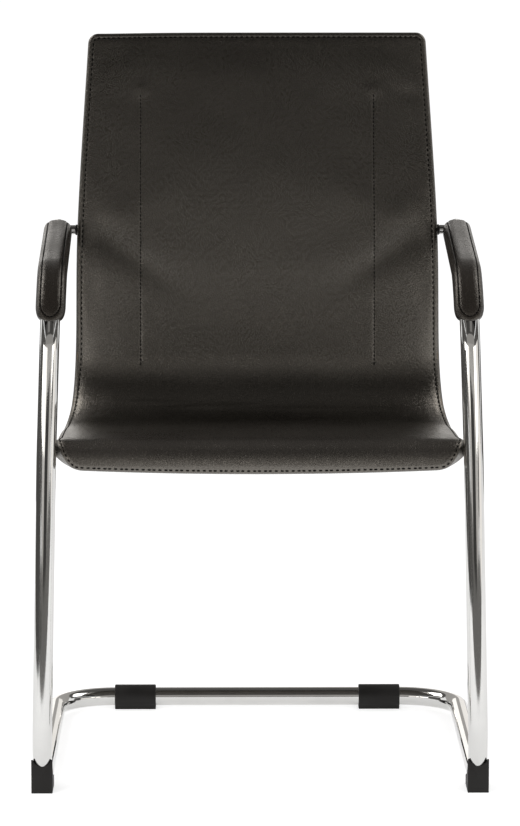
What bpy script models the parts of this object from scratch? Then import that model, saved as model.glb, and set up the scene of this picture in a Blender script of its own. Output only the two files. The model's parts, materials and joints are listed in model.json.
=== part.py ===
"""Guest chair on a cantilever frame of bent round tube, with a one-piece upholstered seat and back.

Metres, +Z up. The chair faces -Y, +X is to the right of someone who looks at its front.
The origin is on the floor, under the middle of the chair's overall width and depth.
"""

import math

import bmesh
import bpy
from mathutils import Matrix, Vector

# Clearances
GAP = 0.0003
LAYER_GAP = 0.0006
CUT_OVERRUN = 0.004

# Tube frame. Depths are measured back from the front face of the feet.
TUBE_DIAMETER = 0.025
TUBE_WALL = 0.002
TUBE_SIDES = 14
TUBE_TURN = math.radians(14)
FLOOR_HALF_WIDTH = 0.278
KNEE_HALF_WIDTH = 0.2702
KNEE_HEIGHT = 0.430
ARM_FRONT_HALF_WIDTH = 0.2632
ARM_REAR_HALF_WIDTH = 0.2722
REAR_BAR_DEPTH = 0.513
FRONT_BEND_DEPTH = 0.0645
FRONT_BEND_RADIUS = 0.070
REAR_CORNER_RADIUS = 0.080
KNEE_RADIUS = 0.90
ARM_BEND_RADIUS = 0.100
UPRIGHT_LEAN = math.radians(4.5)
ARM_SLOPE = math.radians(3.0)
ARM_RISE = 0.0215
ARM_TAIL = 0.014

# Feet and glides
GLIDE_WALL = 0.004
GLIDE_LENGTH = 0.057
GLIDE_SETBACK = 0.108
GLIDE_SOLE_WIDTH = 0.022
GLIDE_TURNS = range(-30, 211, 20)
FOOT_WIDTH = 0.027
FOOT_HEIGHT = 0.0435
FOOT_LENGTH = 0.050
FOOT_TAIL_HEIGHT = 0.013
FOOT_MIDDLE_RISE = 0.003
FOOT_PROFILE_SHARES = (0.50, 0.20, 0.08)
FOOT_SHOULDER_SHARE = 0.75
FOOT_SCREW_DEPTH = 0.036
FOOT_SCREW_SHANK = 0.004
FOOT_SCREW_HEAD = 0.0085
FOOT_SCREW_HEAD_DEPTH = 0.0025
FOOT_SCREW_RECESS = 0.001
FOOT_SCREW_LENGTH = 0.0125
SLEEVE_LENGTH = 0.050
SLEEVE_WALL = 0.002
PLUG_LENGTH = 0.007
PLUG_RIM = 0.002

# Arm pads, whose stations are lengths along the tube from the joint under the rear glide
PAD_WIDTH = 0.038
PAD_HEIGHT = 0.032
PAD_COVER = 0.0014
PAD_START_DROP = 0.0485
PAD_END_SETBACK = 0.023
PAD_ROUNDING = 0.011
PAD_SIDES = 16
PAD_SQUARENESS = 2.6
PAD_END_SHARES = (0, 0.08, 0.35, 1)
PAD_END_CLEAR_SHARE = 1.2

# Core line of the seat and back shell, seen from the side: depth and height of its corners
LIP_DEPTH = 0.030
LIP_HEIGHT = 0.413
LIP_STEEPNESS = math.radians(80)
CREST_DEPTH = 0.0336
CREST_RADIUS = 0.020
SEAT_DEPTH = 0.4186
SEAT_RAKE = math.radians(4.6)
SEAT_BACK_RADIUS = 0.104
LOWER_BACK_RISE = 0.2430
LOWER_BACK_LEAN = math.radians(2)
LUMBAR_RADIUS = 1.0
UPPER_BACK_RISE = 0.2940
UPPER_BACK_LEAN = math.radians(16)

# Half widths of the shell at named places along the core line
LIP_HALF_WIDTH = 0.2570
CREST_HALF_WIDTH = 0.2605
SEAT_HALF_WIDTH = 0.2630
SEAT_REAR_HALF_WIDTH = 0.2622
BEND_MIDDLE_HALF_WIDTH = 0.2522
BEND_HALF_WIDTH = 0.2476
LUMBAR_HALF_WIDTH = 0.2452
TOP_HALF_WIDTH = 0.2305
FRONT_CORNER_RADIUS = 0.033
TOP_CORNER_RADIUS = 0.013
FRONT_BOW = 0.006

# Layers of the shell, from the core line towards the sitter
RAIL_THICKNESS = 0.012
CROSS_RAIL_THICKNESS = 0.0105
RAIL_WIDTH = 0.022
RAIL_WALL = 0.0015
RAIL_SETBACK = 0.033
RAIL_END_GAP = 0.0008
PANEL_THICKNESS = 0.0025
FOAM_EDGE = 0.0045
FOAM_CROWN = 0.0095
COVER = 0.0014
EDGE_ROUND = 0.0050
EDGE_LOOP_SHARE = 0.30
SIDE_CROWN_SHARE = 0.30
END_CROWN_SHARE = 0.075
SOFT_INSET = 0.0023
STITCH_LINE = 0.159
STITCH_GROOVE = 0.0022
STITCH_HALF_WIDTH = 0.004
STITCH_TOP_SETBACK = 0.088
STITCH_BOTTOM_RISE = 0.075
ROW_STEP = 0.062
ROW_CHECK = 0.002
ROW_TURN = math.radians(13)
BEND_TURN = math.radians(0.3)
CORE_TURN = math.radians(2.5)
STITCH_FADE = 0.012
INNER_COLUMN_SHARE = 0.47
OUTER_COLUMN_SHARE = 0.63
FRONT_CORNER_TURNS = (0, 18, 33, 46, 57, 67, 78, 90)
TOP_CORNER_TURNS = (0, 30, 60, 90)
FRONT_BOW_REACH = 0.066

# Fixings
CONNECTOR_HEIGHT = 0.6745
SEAT_BOLT_DEPTH = 0.060
BOLT_SHANK = 0.005
BOLT_HEAD = 0.013
BOLT_HEAD_HEIGHT = 0.004
FERRULE_DIAMETER = 0.013
WASHER_DIAMETER = 0.0145
WASHER_SHARE = 0.45
FERRULE_BITE = 0.004
NUT_DIAMETER = 0.0080
NUT_LENGTH = 0.008
NUT_GAP = 0.0007
BRACKET_THICKNESS = 0.004
BRACKET_HEIGHT = 0.022
BRACKET_TAIL = 0.012
BRACKET_TURNS = (-60, -30, 0, 30, 60)
BOLT_SIDES = 12
BOLT_HEAD_TOP_SHARE = 0.67

SHARP_ANGLE = math.radians(35)

TUBE_RADIUS = TUBE_DIAMETER / 2
TUBE_HEIGHT = GLIDE_WALL + TUBE_RADIUS
GLIDE_CENTRE = FLOOR_HALF_WIDTH - GLIDE_SETBACK
ARM_BEND_HEIGHT = CONNECTOR_HEIGHT - ARM_RISE
HALF_RAIL = RAIL_THICKNESS / 2
PANEL_BOTTOM = HALF_RAIL + LAYER_GAP
PANEL_TOP = PANEL_BOTTOM + PANEL_THICKNESS
FOAM_BOTTOM = PANEL_TOP + LAYER_GAP
REAR_TOP = -HALF_RAIL - LAYER_GAP
REAR_BOTTOM = REAR_TOP - COVER
SIDES = (("left", -1), ("right", 1))


def clear_scene():
    for old in list(bpy.data.objects):
        bpy.data.objects.remove(old, do_unlink=True)


def material(name, colour, roughness, metallic=0):
    made = bpy.data.materials.new(name)
    made.use_nodes = True
    shader = made.node_tree.nodes["Principled BSDF"]
    shader.inputs["Base Color"].default_value = (*colour, 1)
    shader.inputs["Roughness"].default_value = roughness
    shader.inputs["Metallic"].default_value = metallic
    return made


def new_object(name, points, faces, finish):
    """A mesh object from points and faces, with its normals made consistent and facing out."""
    mesh = bpy.data.meshes.new(name)
    mesh.from_pydata([tuple(p) for p in points], [], faces)
    work = bmesh.new()
    work.from_mesh(mesh)
    bmesh.ops.recalc_face_normals(work, faces=work.faces)
    if work.calc_volume(signed=True) < 0:
        bmesh.ops.reverse_faces(work, faces=work.faces)
    work.to_mesh(mesh)
    work.free()
    mesh.materials.append(finish)
    mesh.shade_smooth()
    mesh.set_sharp_from_angle(angle=SHARP_ANGLE)
    made = bpy.data.objects.new(name, mesh)
    bpy.context.scene.collection.objects.link(made)
    return made


def cut(target, cutter):
    """Takes the cutter's volume out of the target, and keeps the cutter out of the model."""
    cutter.hide_render = True
    cutter.display_type = "WIRE"
    boolean = target.modifiers.new(cutter.name, "BOOLEAN")
    boolean.operation = "DIFFERENCE"
    boolean.solver = "EXACT"
    boolean.object = cutter


# Paths with rounded corners


def rounded_path(corners, radii, turn_step):
    """Points along straight runs between the corners, each inner corner rounded to its radius."""
    points = [corners[0].copy()]
    for before, corner, after, radius in zip(corners, corners[1:], corners[2:], radii):
        back = (before - corner).normalized()
        ahead = (after - corner).normalized()
        turn = math.pi - back.angle(ahead)
        setback = radius * math.tan(turn / 2)
        centre = corner + (back + ahead).normalized() * (radius / math.cos(turn / 2))
        start = corner + back * setback - centre
        axis = start.cross(corner + ahead * setback - centre).normalized()
        steps = max(2, math.ceil(turn / turn_step))
        for step in range(steps + 1):
            points.append(centre + Matrix.Rotation(turn * step / steps, 3, axis) @ start)
    points.append(corners[-1].copy())
    return points


def stations(points):
    """The length along the path at each of its points."""
    lengths = [0.0]
    for a, b in zip(points, points[1:]):
        lengths.append(lengths[-1] + (b - a).length)
    return lengths


def tangent(points, index):
    before = points[max(index - 1, 0)]
    after = points[min(index + 1, len(points) - 1)]
    return (after - before).normalized()


def along(points, length):
    """The point and the direction at a length along the path."""
    lengths = stations(points)
    for index in range(len(points) - 1):
        if length <= lengths[index + 1] or index == len(points) - 2:
            share = (length - lengths[index]) / (lengths[index + 1] - lengths[index])
            place = points[index].lerp(points[index + 1], share)
            ahead = tangent(points, index).lerp(tangent(points, index + 1), share)
            return place, ahead.normalized()


def length_at_height(points, height, last):
    """The length along the path where it crosses a height for the last or the first time."""
    lengths = stations(points)
    spans = range(len(points) - 1)
    for index in reversed(spans) if last else spans:
        low, high = sorted((points[index].z, points[index + 1].z))
        if low <= height <= high and high > low:
            share = (height - points[index].z) / (points[index + 1].z - points[index].z)
            return lengths[index] + share * (lengths[index + 1] - lengths[index])


def with_close_points(points, step):
    """The same path with no two points further apart than the step."""
    close = [points[0]]
    for a, b in zip(points, points[1:]):
        count = math.ceil((b - a).length / step)
        close += [a.lerp(b, i / count) for i in range(1, count + 1)]
    return close


# Turned and swept shapes


def circle(radius, sides):
    return [
        (radius * math.cos(2 * math.pi * i / sides), radius * math.sin(2 * math.pi * i / sides))
        for i in range(sides)
    ]


def loft(name, rings, finish, ring_closes=False):
    """Joins rings of equal count. The ends are filled, or the last ring joins the first."""
    count = len(rings[0])
    points = [p for ring in rings for p in ring]
    faces = []
    spans = len(rings) if ring_closes else len(rings) - 1
    for ring in range(spans):
        a = ring * count
        b = (ring + 1) % len(rings) * count
        for i in range(count):
            j = (i + 1) % count
            faces.append((a + i, a + j, b + j, b + i))
    if not ring_closes:
        faces.append(tuple(range(count)))
        faces.append(tuple(reversed(range((len(rings) - 1) * count, len(rings) * count))))
    return new_object(name, points, faces, finish)


def ring_frames(points):
    """A place, a side direction and an up direction for each point, with no twist between them."""
    side = Vector((0, 0, 1)).cross(tangent(points, 0)).normalized()
    frames = []
    for index, place in enumerate(points):
        ahead = tangent(points, index)
        side = (side - ahead * side.dot(ahead)).normalized()
        frames.append((place, side, ahead.cross(side)))
    return frames


def ring_at(frame, outline):
    place, side, up = frame
    return [place + side * x + up * y for x, y in outline]


def swept_tube(name, points, outer, inner, sides, finish):
    """A round tube along the path, solid where the inner radius is zero."""
    frames = ring_frames(points)
    rings = [ring_at(frame, circle(outer, sides)) for frame in frames]
    if not inner:
        return loft(name, rings, finish)
    rings += [ring_at(frame, circle(inner, sides)) for frame in reversed(frames)]
    return loft(name, rings, finish, ring_closes=True)


def turned(name, start, axis, profile, finish, sides=BOLT_SIDES):
    """A shape turned about an axis. The profile lists (distance along the axis, radius)."""
    axis = axis.normalized()
    helper = Vector((0, 0, 1)) if abs(axis.z) < abs(axis.y) + abs(axis.x) else Vector((1, 0, 0))
    side = helper.cross(axis).normalized()
    up = axis.cross(side)
    rings = [
        ring_at((start + axis * distance, side, up), circle(radius, sides))
        for distance, radius in profile
    ]
    closes = profile[0] == profile[-1]
    return loft(name, rings[:-1] if closes else rings, finish, ring_closes=closes)


def tube_piece(name, start, axis, length, outer, inner, finish, sides=BOLT_SIDES):
    profile = [(0, inner), (0, outer), (length, outer), (length, inner), (0, inner)]
    return turned(name, start, axis, profile, finish, sides)


# The side view of the shell


def shell_path():
    """Points of the core line from the front lip to the top, in the plane of symmetry."""
    lip = Vector((0, LIP_DEPTH, LIP_HEIGHT))
    crest_rise = (CREST_DEPTH - LIP_DEPTH) * math.tan(LIP_STEEPNESS)
    crest = Vector((0, CREST_DEPTH, LIP_HEIGHT + crest_rise))
    seat_rear = crest + SEAT_DEPTH * Vector((0, 1, -math.tan(SEAT_RAKE)))
    lumbar = seat_rear + LOWER_BACK_RISE * Vector((0, math.tan(LOWER_BACK_LEAN), 1))
    top = lumbar + UPPER_BACK_RISE * Vector((0, math.tan(UPPER_BACK_LEAN), 1))
    radii = (CREST_RADIUS, SEAT_BACK_RADIUS, LUMBAR_RADIUS)
    corners = [lip, crest, seat_rear, lumbar, top]
    return with_close_points(rounded_path(corners, radii, CORE_TURN), ROW_CHECK)


SHELL = shell_path()
SHELL_LENGTHS = stations(SHELL)
SHELL_LENGTH = SHELL_LENGTHS[-1]


def shell_length_at(depth, height_below):
    """The length along the core line where it passes a depth, below a height."""
    for index in range(len(SHELL) - 1):
        a, b = SHELL[index], SHELL[index + 1]
        if a.y <= depth <= b.y and a.z < height_below:
            return SHELL_LENGTHS[index] + (b - a).length * (depth - a.y) / (b.y - a.y)


SEAT_START = CREST_RADIUS * math.radians(90) + LIP_DEPTH / 2
BACK_START = length_at_height(SHELL, LIP_HEIGHT + SEAT_BACK_RADIUS, last=True)
SEAT_END = BACK_START - SEAT_BACK_RADIUS * math.pi / 2
CONNECTOR_LENGTH = length_at_height(SHELL, CONNECTOR_HEIGHT, last=True)
SEAT_BOLT_LENGTH = shell_length_at(SEAT_BOLT_DEPTH, LIP_HEIGHT + SEAT_BACK_RADIUS)
WIDTHS = (
    (0, LIP_HALF_WIDTH),
    (SEAT_START, CREST_HALF_WIDTH),
    ((SEAT_START + SEAT_END) / 2, SEAT_HALF_WIDTH),
    (SEAT_END, SEAT_REAR_HALF_WIDTH),
    ((SEAT_END + BACK_START) / 2, BEND_MIDDLE_HALF_WIDTH),
    (BACK_START, BEND_HALF_WIDTH),
    (CONNECTOR_LENGTH, LUMBAR_HALF_WIDTH),
    (SHELL_LENGTH, TOP_HALF_WIDTH),
)


def smooth_between(table, value):
    """A smooth curve through the table's points, straight outside them."""
    slopes = []
    for index, (x, y) in enumerate(table):
        before = table[max(index - 1, 0)]
        after = table[min(index + 1, len(table) - 1)]
        slopes.append((after[1] - before[1]) / (after[0] - before[0]))
    for index in range(len(table) - 1):
        (x0, y0), (x1, y1) = table[index], table[index + 1]
        if value <= x1 or index == len(table) - 2:
            span = x1 - x0
            t = min(max((value - x0) / span, 0), 1)
            rise = y0 + (y1 - y0) * (3 * t * t - 2 * t * t * t)
            lean = slopes[index] * (t - 2 * t * t + t ** 3) + slopes[index + 1] * (t ** 3 - t * t)
            return rise + lean * span


def corner_cut(distance, radius):
    """How far a rounded corner draws the side in, at a distance from the end."""
    if distance >= radius:
        return 0
    return radius - math.sqrt(max(radius ** 2 - (radius - max(distance, 0)) ** 2, 0))


def half_width(length, inset):
    """The half width of the shell at a length along it, drawn in by the inset."""
    full = smooth_between(WIDTHS, length)
    front = corner_cut(length - inset, max(FRONT_CORNER_RADIUS - inset, GAP))
    rear = corner_cut(SHELL_LENGTH - inset - length, max(TOP_CORNER_RADIUS - inset, GAP))
    return full - inset - front - rear


def shell_point(length, across, offset):
    """The world point at a length along the core line, a distance across and an offset from it."""
    place, ahead = along(SHELL, length)
    normal = Vector((0, -ahead.z, ahead.y))
    return Vector((across, place.y, place.z)) + normal * offset


def row_length(base, inset):
    """The length of a row once its layer is drawn in, which keeps the angles of the corners."""
    if base <= FRONT_CORNER_RADIUS:
        return inset + (FRONT_CORNER_RADIUS - inset) * base / FRONT_CORNER_RADIUS
    left = SHELL_LENGTH - base
    if left <= TOP_CORNER_RADIUS:
        return SHELL_LENGTH - inset - (TOP_CORNER_RADIUS - inset) * left / TOP_CORNER_RADIUS
    return base


def place_on_shell(base, inset, column):
    """The length and the distance across of a grid point, from its row and column.

    Column 1 is the line of stitches, which keeps its distance, and column 2 is the side.
    """
    length = row_length(base, inset)
    half = half_width(length, inset)
    across = STITCH_LINE * min(abs(column), 1) + (half - STITCH_LINE) * max(abs(column) - 1, 0)
    fade = max(0, 1 - base / FRONT_BOW_REACH)
    bow = FRONT_BOW * (1 - (across / half) ** 2) * fade
    return length - bow, math.copysign(across, column)


def row_lengths():
    """Rows of the shell's grids, close together at the corners and bends."""
    front = [FRONT_CORNER_RADIUS * (1 - math.cos(math.radians(a))) for a in FRONT_CORNER_TURNS]
    rear = [TOP_CORNER_RADIUS * (1 - math.cos(math.radians(a))) for a in TOP_CORNER_TURNS]
    rows = list(front)
    end = SHELL_LENGTH - TOP_CORNER_RADIUS
    steps = round((end - rows[-1]) / ROW_CHECK)
    before, turned_before = rows[-1], 0
    for step in range(1, steps):
        length = front[-1] + (end - front[-1]) * step / steps
        turned = along(SHELL, rows[-1])[1].angle(along(SHELL, length)[1])
        bend_starts = turned_before < BEND_TURN < turned and before - rows[-1] > 2 * ROW_CHECK
        if bend_starts:
            rows.append(before)
        elif turned > ROW_TURN or length - rows[-1] > ROW_STEP:
            rows.append(length)
        before, turned_before = length, turned
    return rows + [SHELL_LENGTH - r for r in reversed(rear)]


ROWS = row_lengths()


def grid_columns():
    """Columns of the cover and foam, with three at each line of stitches."""
    outer_span = (LUMBAR_HALF_WIDTH + TOP_HALF_WIDTH) / 2 - STITCH_LINE
    groove_start = 1 - STITCH_HALF_WIDTH / STITCH_LINE
    groove_end = 1 + STITCH_HALF_WIDTH / outer_span
    half = [INNER_COLUMN_SHARE, groove_start, 1, groove_end, 1 + OUTER_COLUMN_SHARE, 2]
    return [-column for column in reversed(half)] + [0] + half


COLUMNS = grid_columns()
PLAIN_COLUMNS = (-2, -1, 0, 1, 2)


def stitch_depth(length, across):
    """How deep the sewn lines draw the leather in."""
    away = abs(abs(across) - STITCH_LINE)
    inside = min(length - BACK_START - STITCH_BOTTOM_RISE + SEAT_BACK_RADIUS,
                 SHELL_LENGTH - STITCH_TOP_SETBACK - length)
    if inside < 0:
        return 0
    return STITCH_GROOVE * max(0, 1 - away / STITCH_HALF_WIDTH) * min(1, inside / STITCH_FADE)


def crown(length, across, edge, middle):
    """Thickness of a padded layer: full in the middle, drawn in at the sides and ends."""
    side = 1 - min(1, abs(across) / smooth_between(WIDTHS, length))
    end = min(length, SHELL_LENGTH - length) / SHELL_LENGTH
    swell = min(1, side / SIDE_CROWN_SHARE) * min(1, end / END_CROWN_SHARE)
    swell = math.sin(max(0, swell) * math.pi / 2)
    return edge + (middle - edge) * swell - stitch_depth(length, across)


def foam_top(length, across):
    return FOAM_BOTTOM + crown(length, across, FOAM_EDGE, FOAM_CROWN)


def cover_inside(length, across):
    return foam_top(length, across) + LAYER_GAP


def cover_outside(length, across):
    return cover_inside(length, across) + COVER


def level(offset):
    return lambda length, across: offset


def boundary(rows, columns):
    """Indices of the grid's edge points, once round."""
    last_row, last_column = rows - 1, columns - 1
    edge = [(0, j) for j in range(columns)]
    edge += [(i, last_column) for i in range(1, rows)]
    edge += [(last_row, j) for j in range(last_column - 1, -1, -1)]
    edge += [(i, 0) for i in range(last_row - 1, 0, -1)]
    return edge


def shell_layer(name, columns, top, bottom, loops, finish):
    """A closed layer of the shell: a top grid, loops round its edge, and a bottom grid.

    Top and bottom are (inset, offset function), and each loop is one as well.
    """
    points, faces = [], []
    rows, wide = len(ROWS), len(columns)

    def grid_point(row, column, layer):
        inset, offset = layer
        length, across = place_on_shell(ROWS[row], inset, columns[column])
        return shell_point(length, across, offset(length, across))

    def add_grid(layer):
        first = len(points)
        for row in range(rows):
            for column in range(wide):
                points.append(grid_point(row, column, layer))
        for row in range(rows - 1):
            for column in range(wide - 1):
                a = first + row * wide + column
                b, c, d = a + 1, a + wide + 1, a + wide
                mirrored = columns[column] >= 0
                faces.extend([(a, b, d), (b, c, d)] if mirrored else [(a, b, c), (a, c, d)])
        return [first + row * wide + column for row, column in edge]

    edge = boundary(rows, wide)
    rings = [add_grid(top)]
    for layer in loops:
        first = len(points)
        points.extend(grid_point(row, column, layer) for row, column in edge)
        rings.append(list(range(first, first + len(edge))))
    rings.append(add_grid(bottom))
    for upper, lower in zip(rings, rings[1:]):
        for i in range(len(edge)):
            j = (i + 1) % len(edge)
            faces.append((upper[i], upper[j], lower[j], lower[i]))
    return new_object(name, points, faces, finish)


def edge_above(share):
    """An offset on the cover's rounded edge, a share of the way from side to top."""
    def offset(length, across):
        return cover_outside(length, across) - EDGE_ROUND * (1 - share)
    return offset


def rail_box(name, centre_length, across_start, across_end, finish):
    """A rectangular tube across the shell, open at its ends."""
    half_wide, half_thick = RAIL_WIDTH / 2, CROSS_RAIL_THICKNESS / 2
    rings = []
    for wall, ends in ((0, (across_start, across_end)), (RAIL_WALL, (across_end, across_start))):
        outline = [
            (-half_wide + wall, -half_thick + wall),
            (half_wide - wall, -half_thick + wall),
            (half_wide - wall, half_thick - wall),
            (-half_wide + wall, half_thick - wall),
        ]
        place, ahead = along(SHELL, centre_length)
        normal = Vector((0, -ahead.z, ahead.y))
        for across in ends:
            middle = Vector((across, place.y, place.z))
            rings.append([middle + ahead * u + normal * v for u, v in outline])
    return loft(name, rings, finish, ring_closes=True)


RAIL_INSET = COVER + GAP


def side_rail(name, sign, finish):
    """A rectangular tube along one side of the shell, bent to its profile, open at both ends."""
    lengths = ROWS[len(FRONT_CORNER_TURNS) - 1:1 - len(TOP_CORNER_TURNS)]
    rings = []
    for wall, order in ((0, lengths), (RAIL_WALL, list(reversed(lengths)))):
        for length in order:
            outer = half_width(length, RAIL_INSET) - wall
            inner = half_width(length, RAIL_INSET) - RAIL_WIDTH + wall
            thick = HALF_RAIL - wall
            rings.append([
                shell_point(length, sign * outer, -thick),
                shell_point(length, sign * outer, thick),
                shell_point(length, sign * inner, thick),
                shell_point(length, sign * inner, -thick),
            ])
    return loft(name, rings, finish, ring_closes=True)


# The frame's own line


def side_tube_path(sign):
    """Centre line of a side tube, from the joint in the rear bar to the end of the arm."""
    upright_foot = FRONT_BEND_DEPTH - FRONT_BEND_RADIUS / math.cos(UPRIGHT_LEAN)
    upright_foot -= FRONT_BEND_RADIUS * math.tan(UPRIGHT_LEAN)
    knee_depth = upright_foot + (KNEE_HEIGHT - TUBE_HEIGHT) * math.tan(UPRIGHT_LEAN)
    bend_depth = upright_foot + (ARM_BEND_HEIGHT - TUBE_HEIGHT) * math.tan(UPRIGHT_LEAN)
    tail, _ = along(SHELL, CONNECTOR_LENGTH)
    tail_depth = tail.y + ARM_TAIL
    rear_rise = (tail.y - bend_depth) * math.tan(ARM_SLOPE)
    bend_height = CONNECTOR_HEIGHT - rear_rise
    tail_height = CONNECTOR_HEIGHT + ARM_TAIL * math.tan(ARM_SLOPE)
    corners = [
        Vector((sign * (GLIDE_CENTRE + GAP / 2), REAR_BAR_DEPTH, TUBE_HEIGHT)),
        Vector((sign * FLOOR_HALF_WIDTH, REAR_BAR_DEPTH, TUBE_HEIGHT)),
        Vector((sign * FLOOR_HALF_WIDTH, upright_foot, TUBE_HEIGHT)),
        Vector((sign * KNEE_HALF_WIDTH, knee_depth, KNEE_HEIGHT)),
        Vector((sign * ARM_FRONT_HALF_WIDTH, bend_depth, bend_height)),
        Vector((sign * ARM_REAR_HALF_WIDTH, tail_depth, tail_height)),
    ]
    radii = (REAR_CORNER_RADIUS, FRONT_BEND_RADIUS, KNEE_RADIUS, ARM_BEND_RADIUS)
    return rounded_path(corners, radii, TUBE_TURN)


def pad_outline(half_wide, half_high, sides=PAD_SIDES):
    """A rounded rectangle between an ellipse and a box, as a squared circle."""
    outline = []
    for x, y in circle(1, sides):
        reach = (abs(x) ** PAD_SQUARENESS + abs(y) ** PAD_SQUARENESS) ** (-1 / PAD_SQUARENESS)
        outline.append((x * reach * half_wide, y * reach * half_high))
    return outline


def pad_rings(path, start, end, inset, bore):
    """Rings of a sleeve round the arm tube, drawn in to its bore at both ends."""
    places = [start + PAD_ROUNDING * share for share in PAD_END_SHARES]
    clear = PAD_ROUNDING * PAD_END_CLEAR_SHARE
    first, last = start + clear, end - clear
    places += [length for length in stations(path) if first < length < last]
    places += [end - PAD_ROUNDING * share for share in reversed(PAD_END_SHARES)]
    half_wide = PAD_WIDTH / 2 - inset
    half_high = PAD_HEIGHT / 2 - inset
    outer = []
    for place in places:
        near = min(place - start, end - place, PAD_ROUNDING) / PAD_ROUNDING
        swell = math.sqrt(max(0, 1 - (1 - near) ** 2))
        wide = bore + TUBE_WALL + (half_wide - bore - TUBE_WALL) * swell
        high = bore + GAP * 2 + (half_high - bore - GAP * 2) * swell
        outer.append(ring_at(pad_frame(path, place), pad_outline(wide, high)))
    hole = circle(bore, PAD_SIDES)
    ends = [ring_at(pad_frame(path, place), hole) for place in (start, end)]
    return outer, ends, places


def pad_frame(path, length):
    """Place, side and up of a section square to the arm tube."""
    place, ahead = along(path, length)
    side = Vector((1, 0, 0))
    side = (side - ahead * side.dot(ahead)).normalized()
    return place, side, side.cross(ahead)


def arm_pad(side, path, foam, leather):
    """The foam sleeve and its sewn cover, round the tube from the bend to near the back."""
    start = length_at_height(path, ARM_BEND_HEIGHT - PAD_START_DROP, last=False)
    end = stations(path)[-1] - PAD_END_SETBACK
    bore = (TUBE_RADIUS + GAP) / math.cos(math.pi / PAD_SIDES)
    outer, ends, _ = pad_rings(path, start, end, 0, bore)
    inner, inner_ends, _ = pad_rings(path, start + PAD_COVER, end - PAD_COVER, PAD_COVER, bore)
    rings = [ends[0]] + outer + [ends[1], inner_ends[1]] + inner[::-1] + [inner_ends[0]]
    loft("arm_pad_cover_" + side, rings, leather, ring_closes=True)
    inset = PAD_COVER + GAP
    outer, ends, places = pad_rings(path, start + inset, end - inset, inset, bore)
    hole = circle(bore, PAD_SIDES)
    bore_rings = [ring_at(pad_frame(path, place), hole) for place in places[1:-1]]
    rings = [ends[0]] + outer + [ends[1]] + bore_rings[::-1]
    loft("arm_pad_foam_" + side, rings, foam, ring_closes=True)


def foot(side, sign, tube_space, plastic, steel):
    """A saddle under the front bend, hollowed to the tube, and the screw that holds it."""
    half = FOOT_WIDTH / 2
    middle, shoulder, rim = (FOOT_LENGTH * share for share in FOOT_PROFILE_SHARES)
    outline = [
        (0, 0),
        (FOOT_LENGTH, 0),
        (FOOT_LENGTH, FOOT_TAIL_HEIGHT),
        (middle, TUBE_HEIGHT + FOOT_MIDDLE_RISE),
        (shoulder, FOOT_HEIGHT * FOOT_SHOULDER_SHARE),
        (rim, FOOT_HEIGHT),
        (0, FOOT_HEIGHT),
    ]
    centre = sign * FLOOR_HALF_WIDTH
    rings = [[Vector((centre + x, y, z)) for y, z in outline] for x in (-half, half)]
    made = loft("front_foot_" + side, rings, plastic)
    cut(made, tube_space)
    start = Vector((centre, FOOT_SCREW_DEPTH, FOOT_SCREW_RECESS))
    screw_clear(made, start, "foot_screw_hole_" + side, plastic)
    head, shank = FOOT_SCREW_HEAD / 2, FOOT_SCREW_SHANK / 2
    profile = [(0, head), (FOOT_SCREW_HEAD_DEPTH, shank), (FOOT_SCREW_LENGTH, shank)]
    turned("foot_screw_" + side, start, Vector((0, 0, 1)), profile, steel)


def screw_clear(target, start, name, finish):
    """Cuts a countersunk hole for a foot screw."""
    head, shank = FOOT_SCREW_HEAD / 2 + GAP, FOOT_SCREW_SHANK / 2 + GAP
    below = -FOOT_SCREW_RECESS - CUT_OVERRUN
    profile = [(below, head), (GAP / 2, head), (FOOT_SCREW_HEAD_DEPTH + GAP / 2, shank)]
    profile.append((TUBE_HEIGHT, shank))
    cut(target, turned(name, start, Vector((0, 0, 1)), profile, finish))


def glide(side, sign, plastic):
    """A sleeve round the rear bar with a flat sole."""
    radius = TUBE_RADIUS + GLIDE_WALL
    outline = []
    for angle in GLIDE_TURNS:
        turn = math.radians(angle)
        outline.append((radius * math.cos(turn), TUBE_HEIGHT + radius * math.sin(turn)))
    outline.append((-GLIDE_SOLE_WIDTH / 2, 0))
    outline.append((GLIDE_SOLE_WIDTH / 2, 0))
    rings = []
    for x in (-GLIDE_LENGTH / 2, GLIDE_LENGTH / 2):
        centre = sign * GLIDE_CENTRE + x
        rings.append([Vector((centre, REAR_BAR_DEPTH + y, z)) for y, z in outline])
    made = loft("rear_glide_" + side, rings, plastic)
    reach = GLIDE_LENGTH / 2 + CUT_OVERRUN
    start = Vector((sign * GLIDE_CENTRE - reach, REAR_BAR_DEPTH, TUBE_HEIGHT))
    bore = TUBE_RADIUS + GAP
    profile = [(0, bore), (2 * reach, bore)]
    axis = Vector((1, 0, 0))
    cut(made, turned("glide_bore_" + side, start, axis, profile, plastic, TUBE_SIDES * 2))


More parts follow.
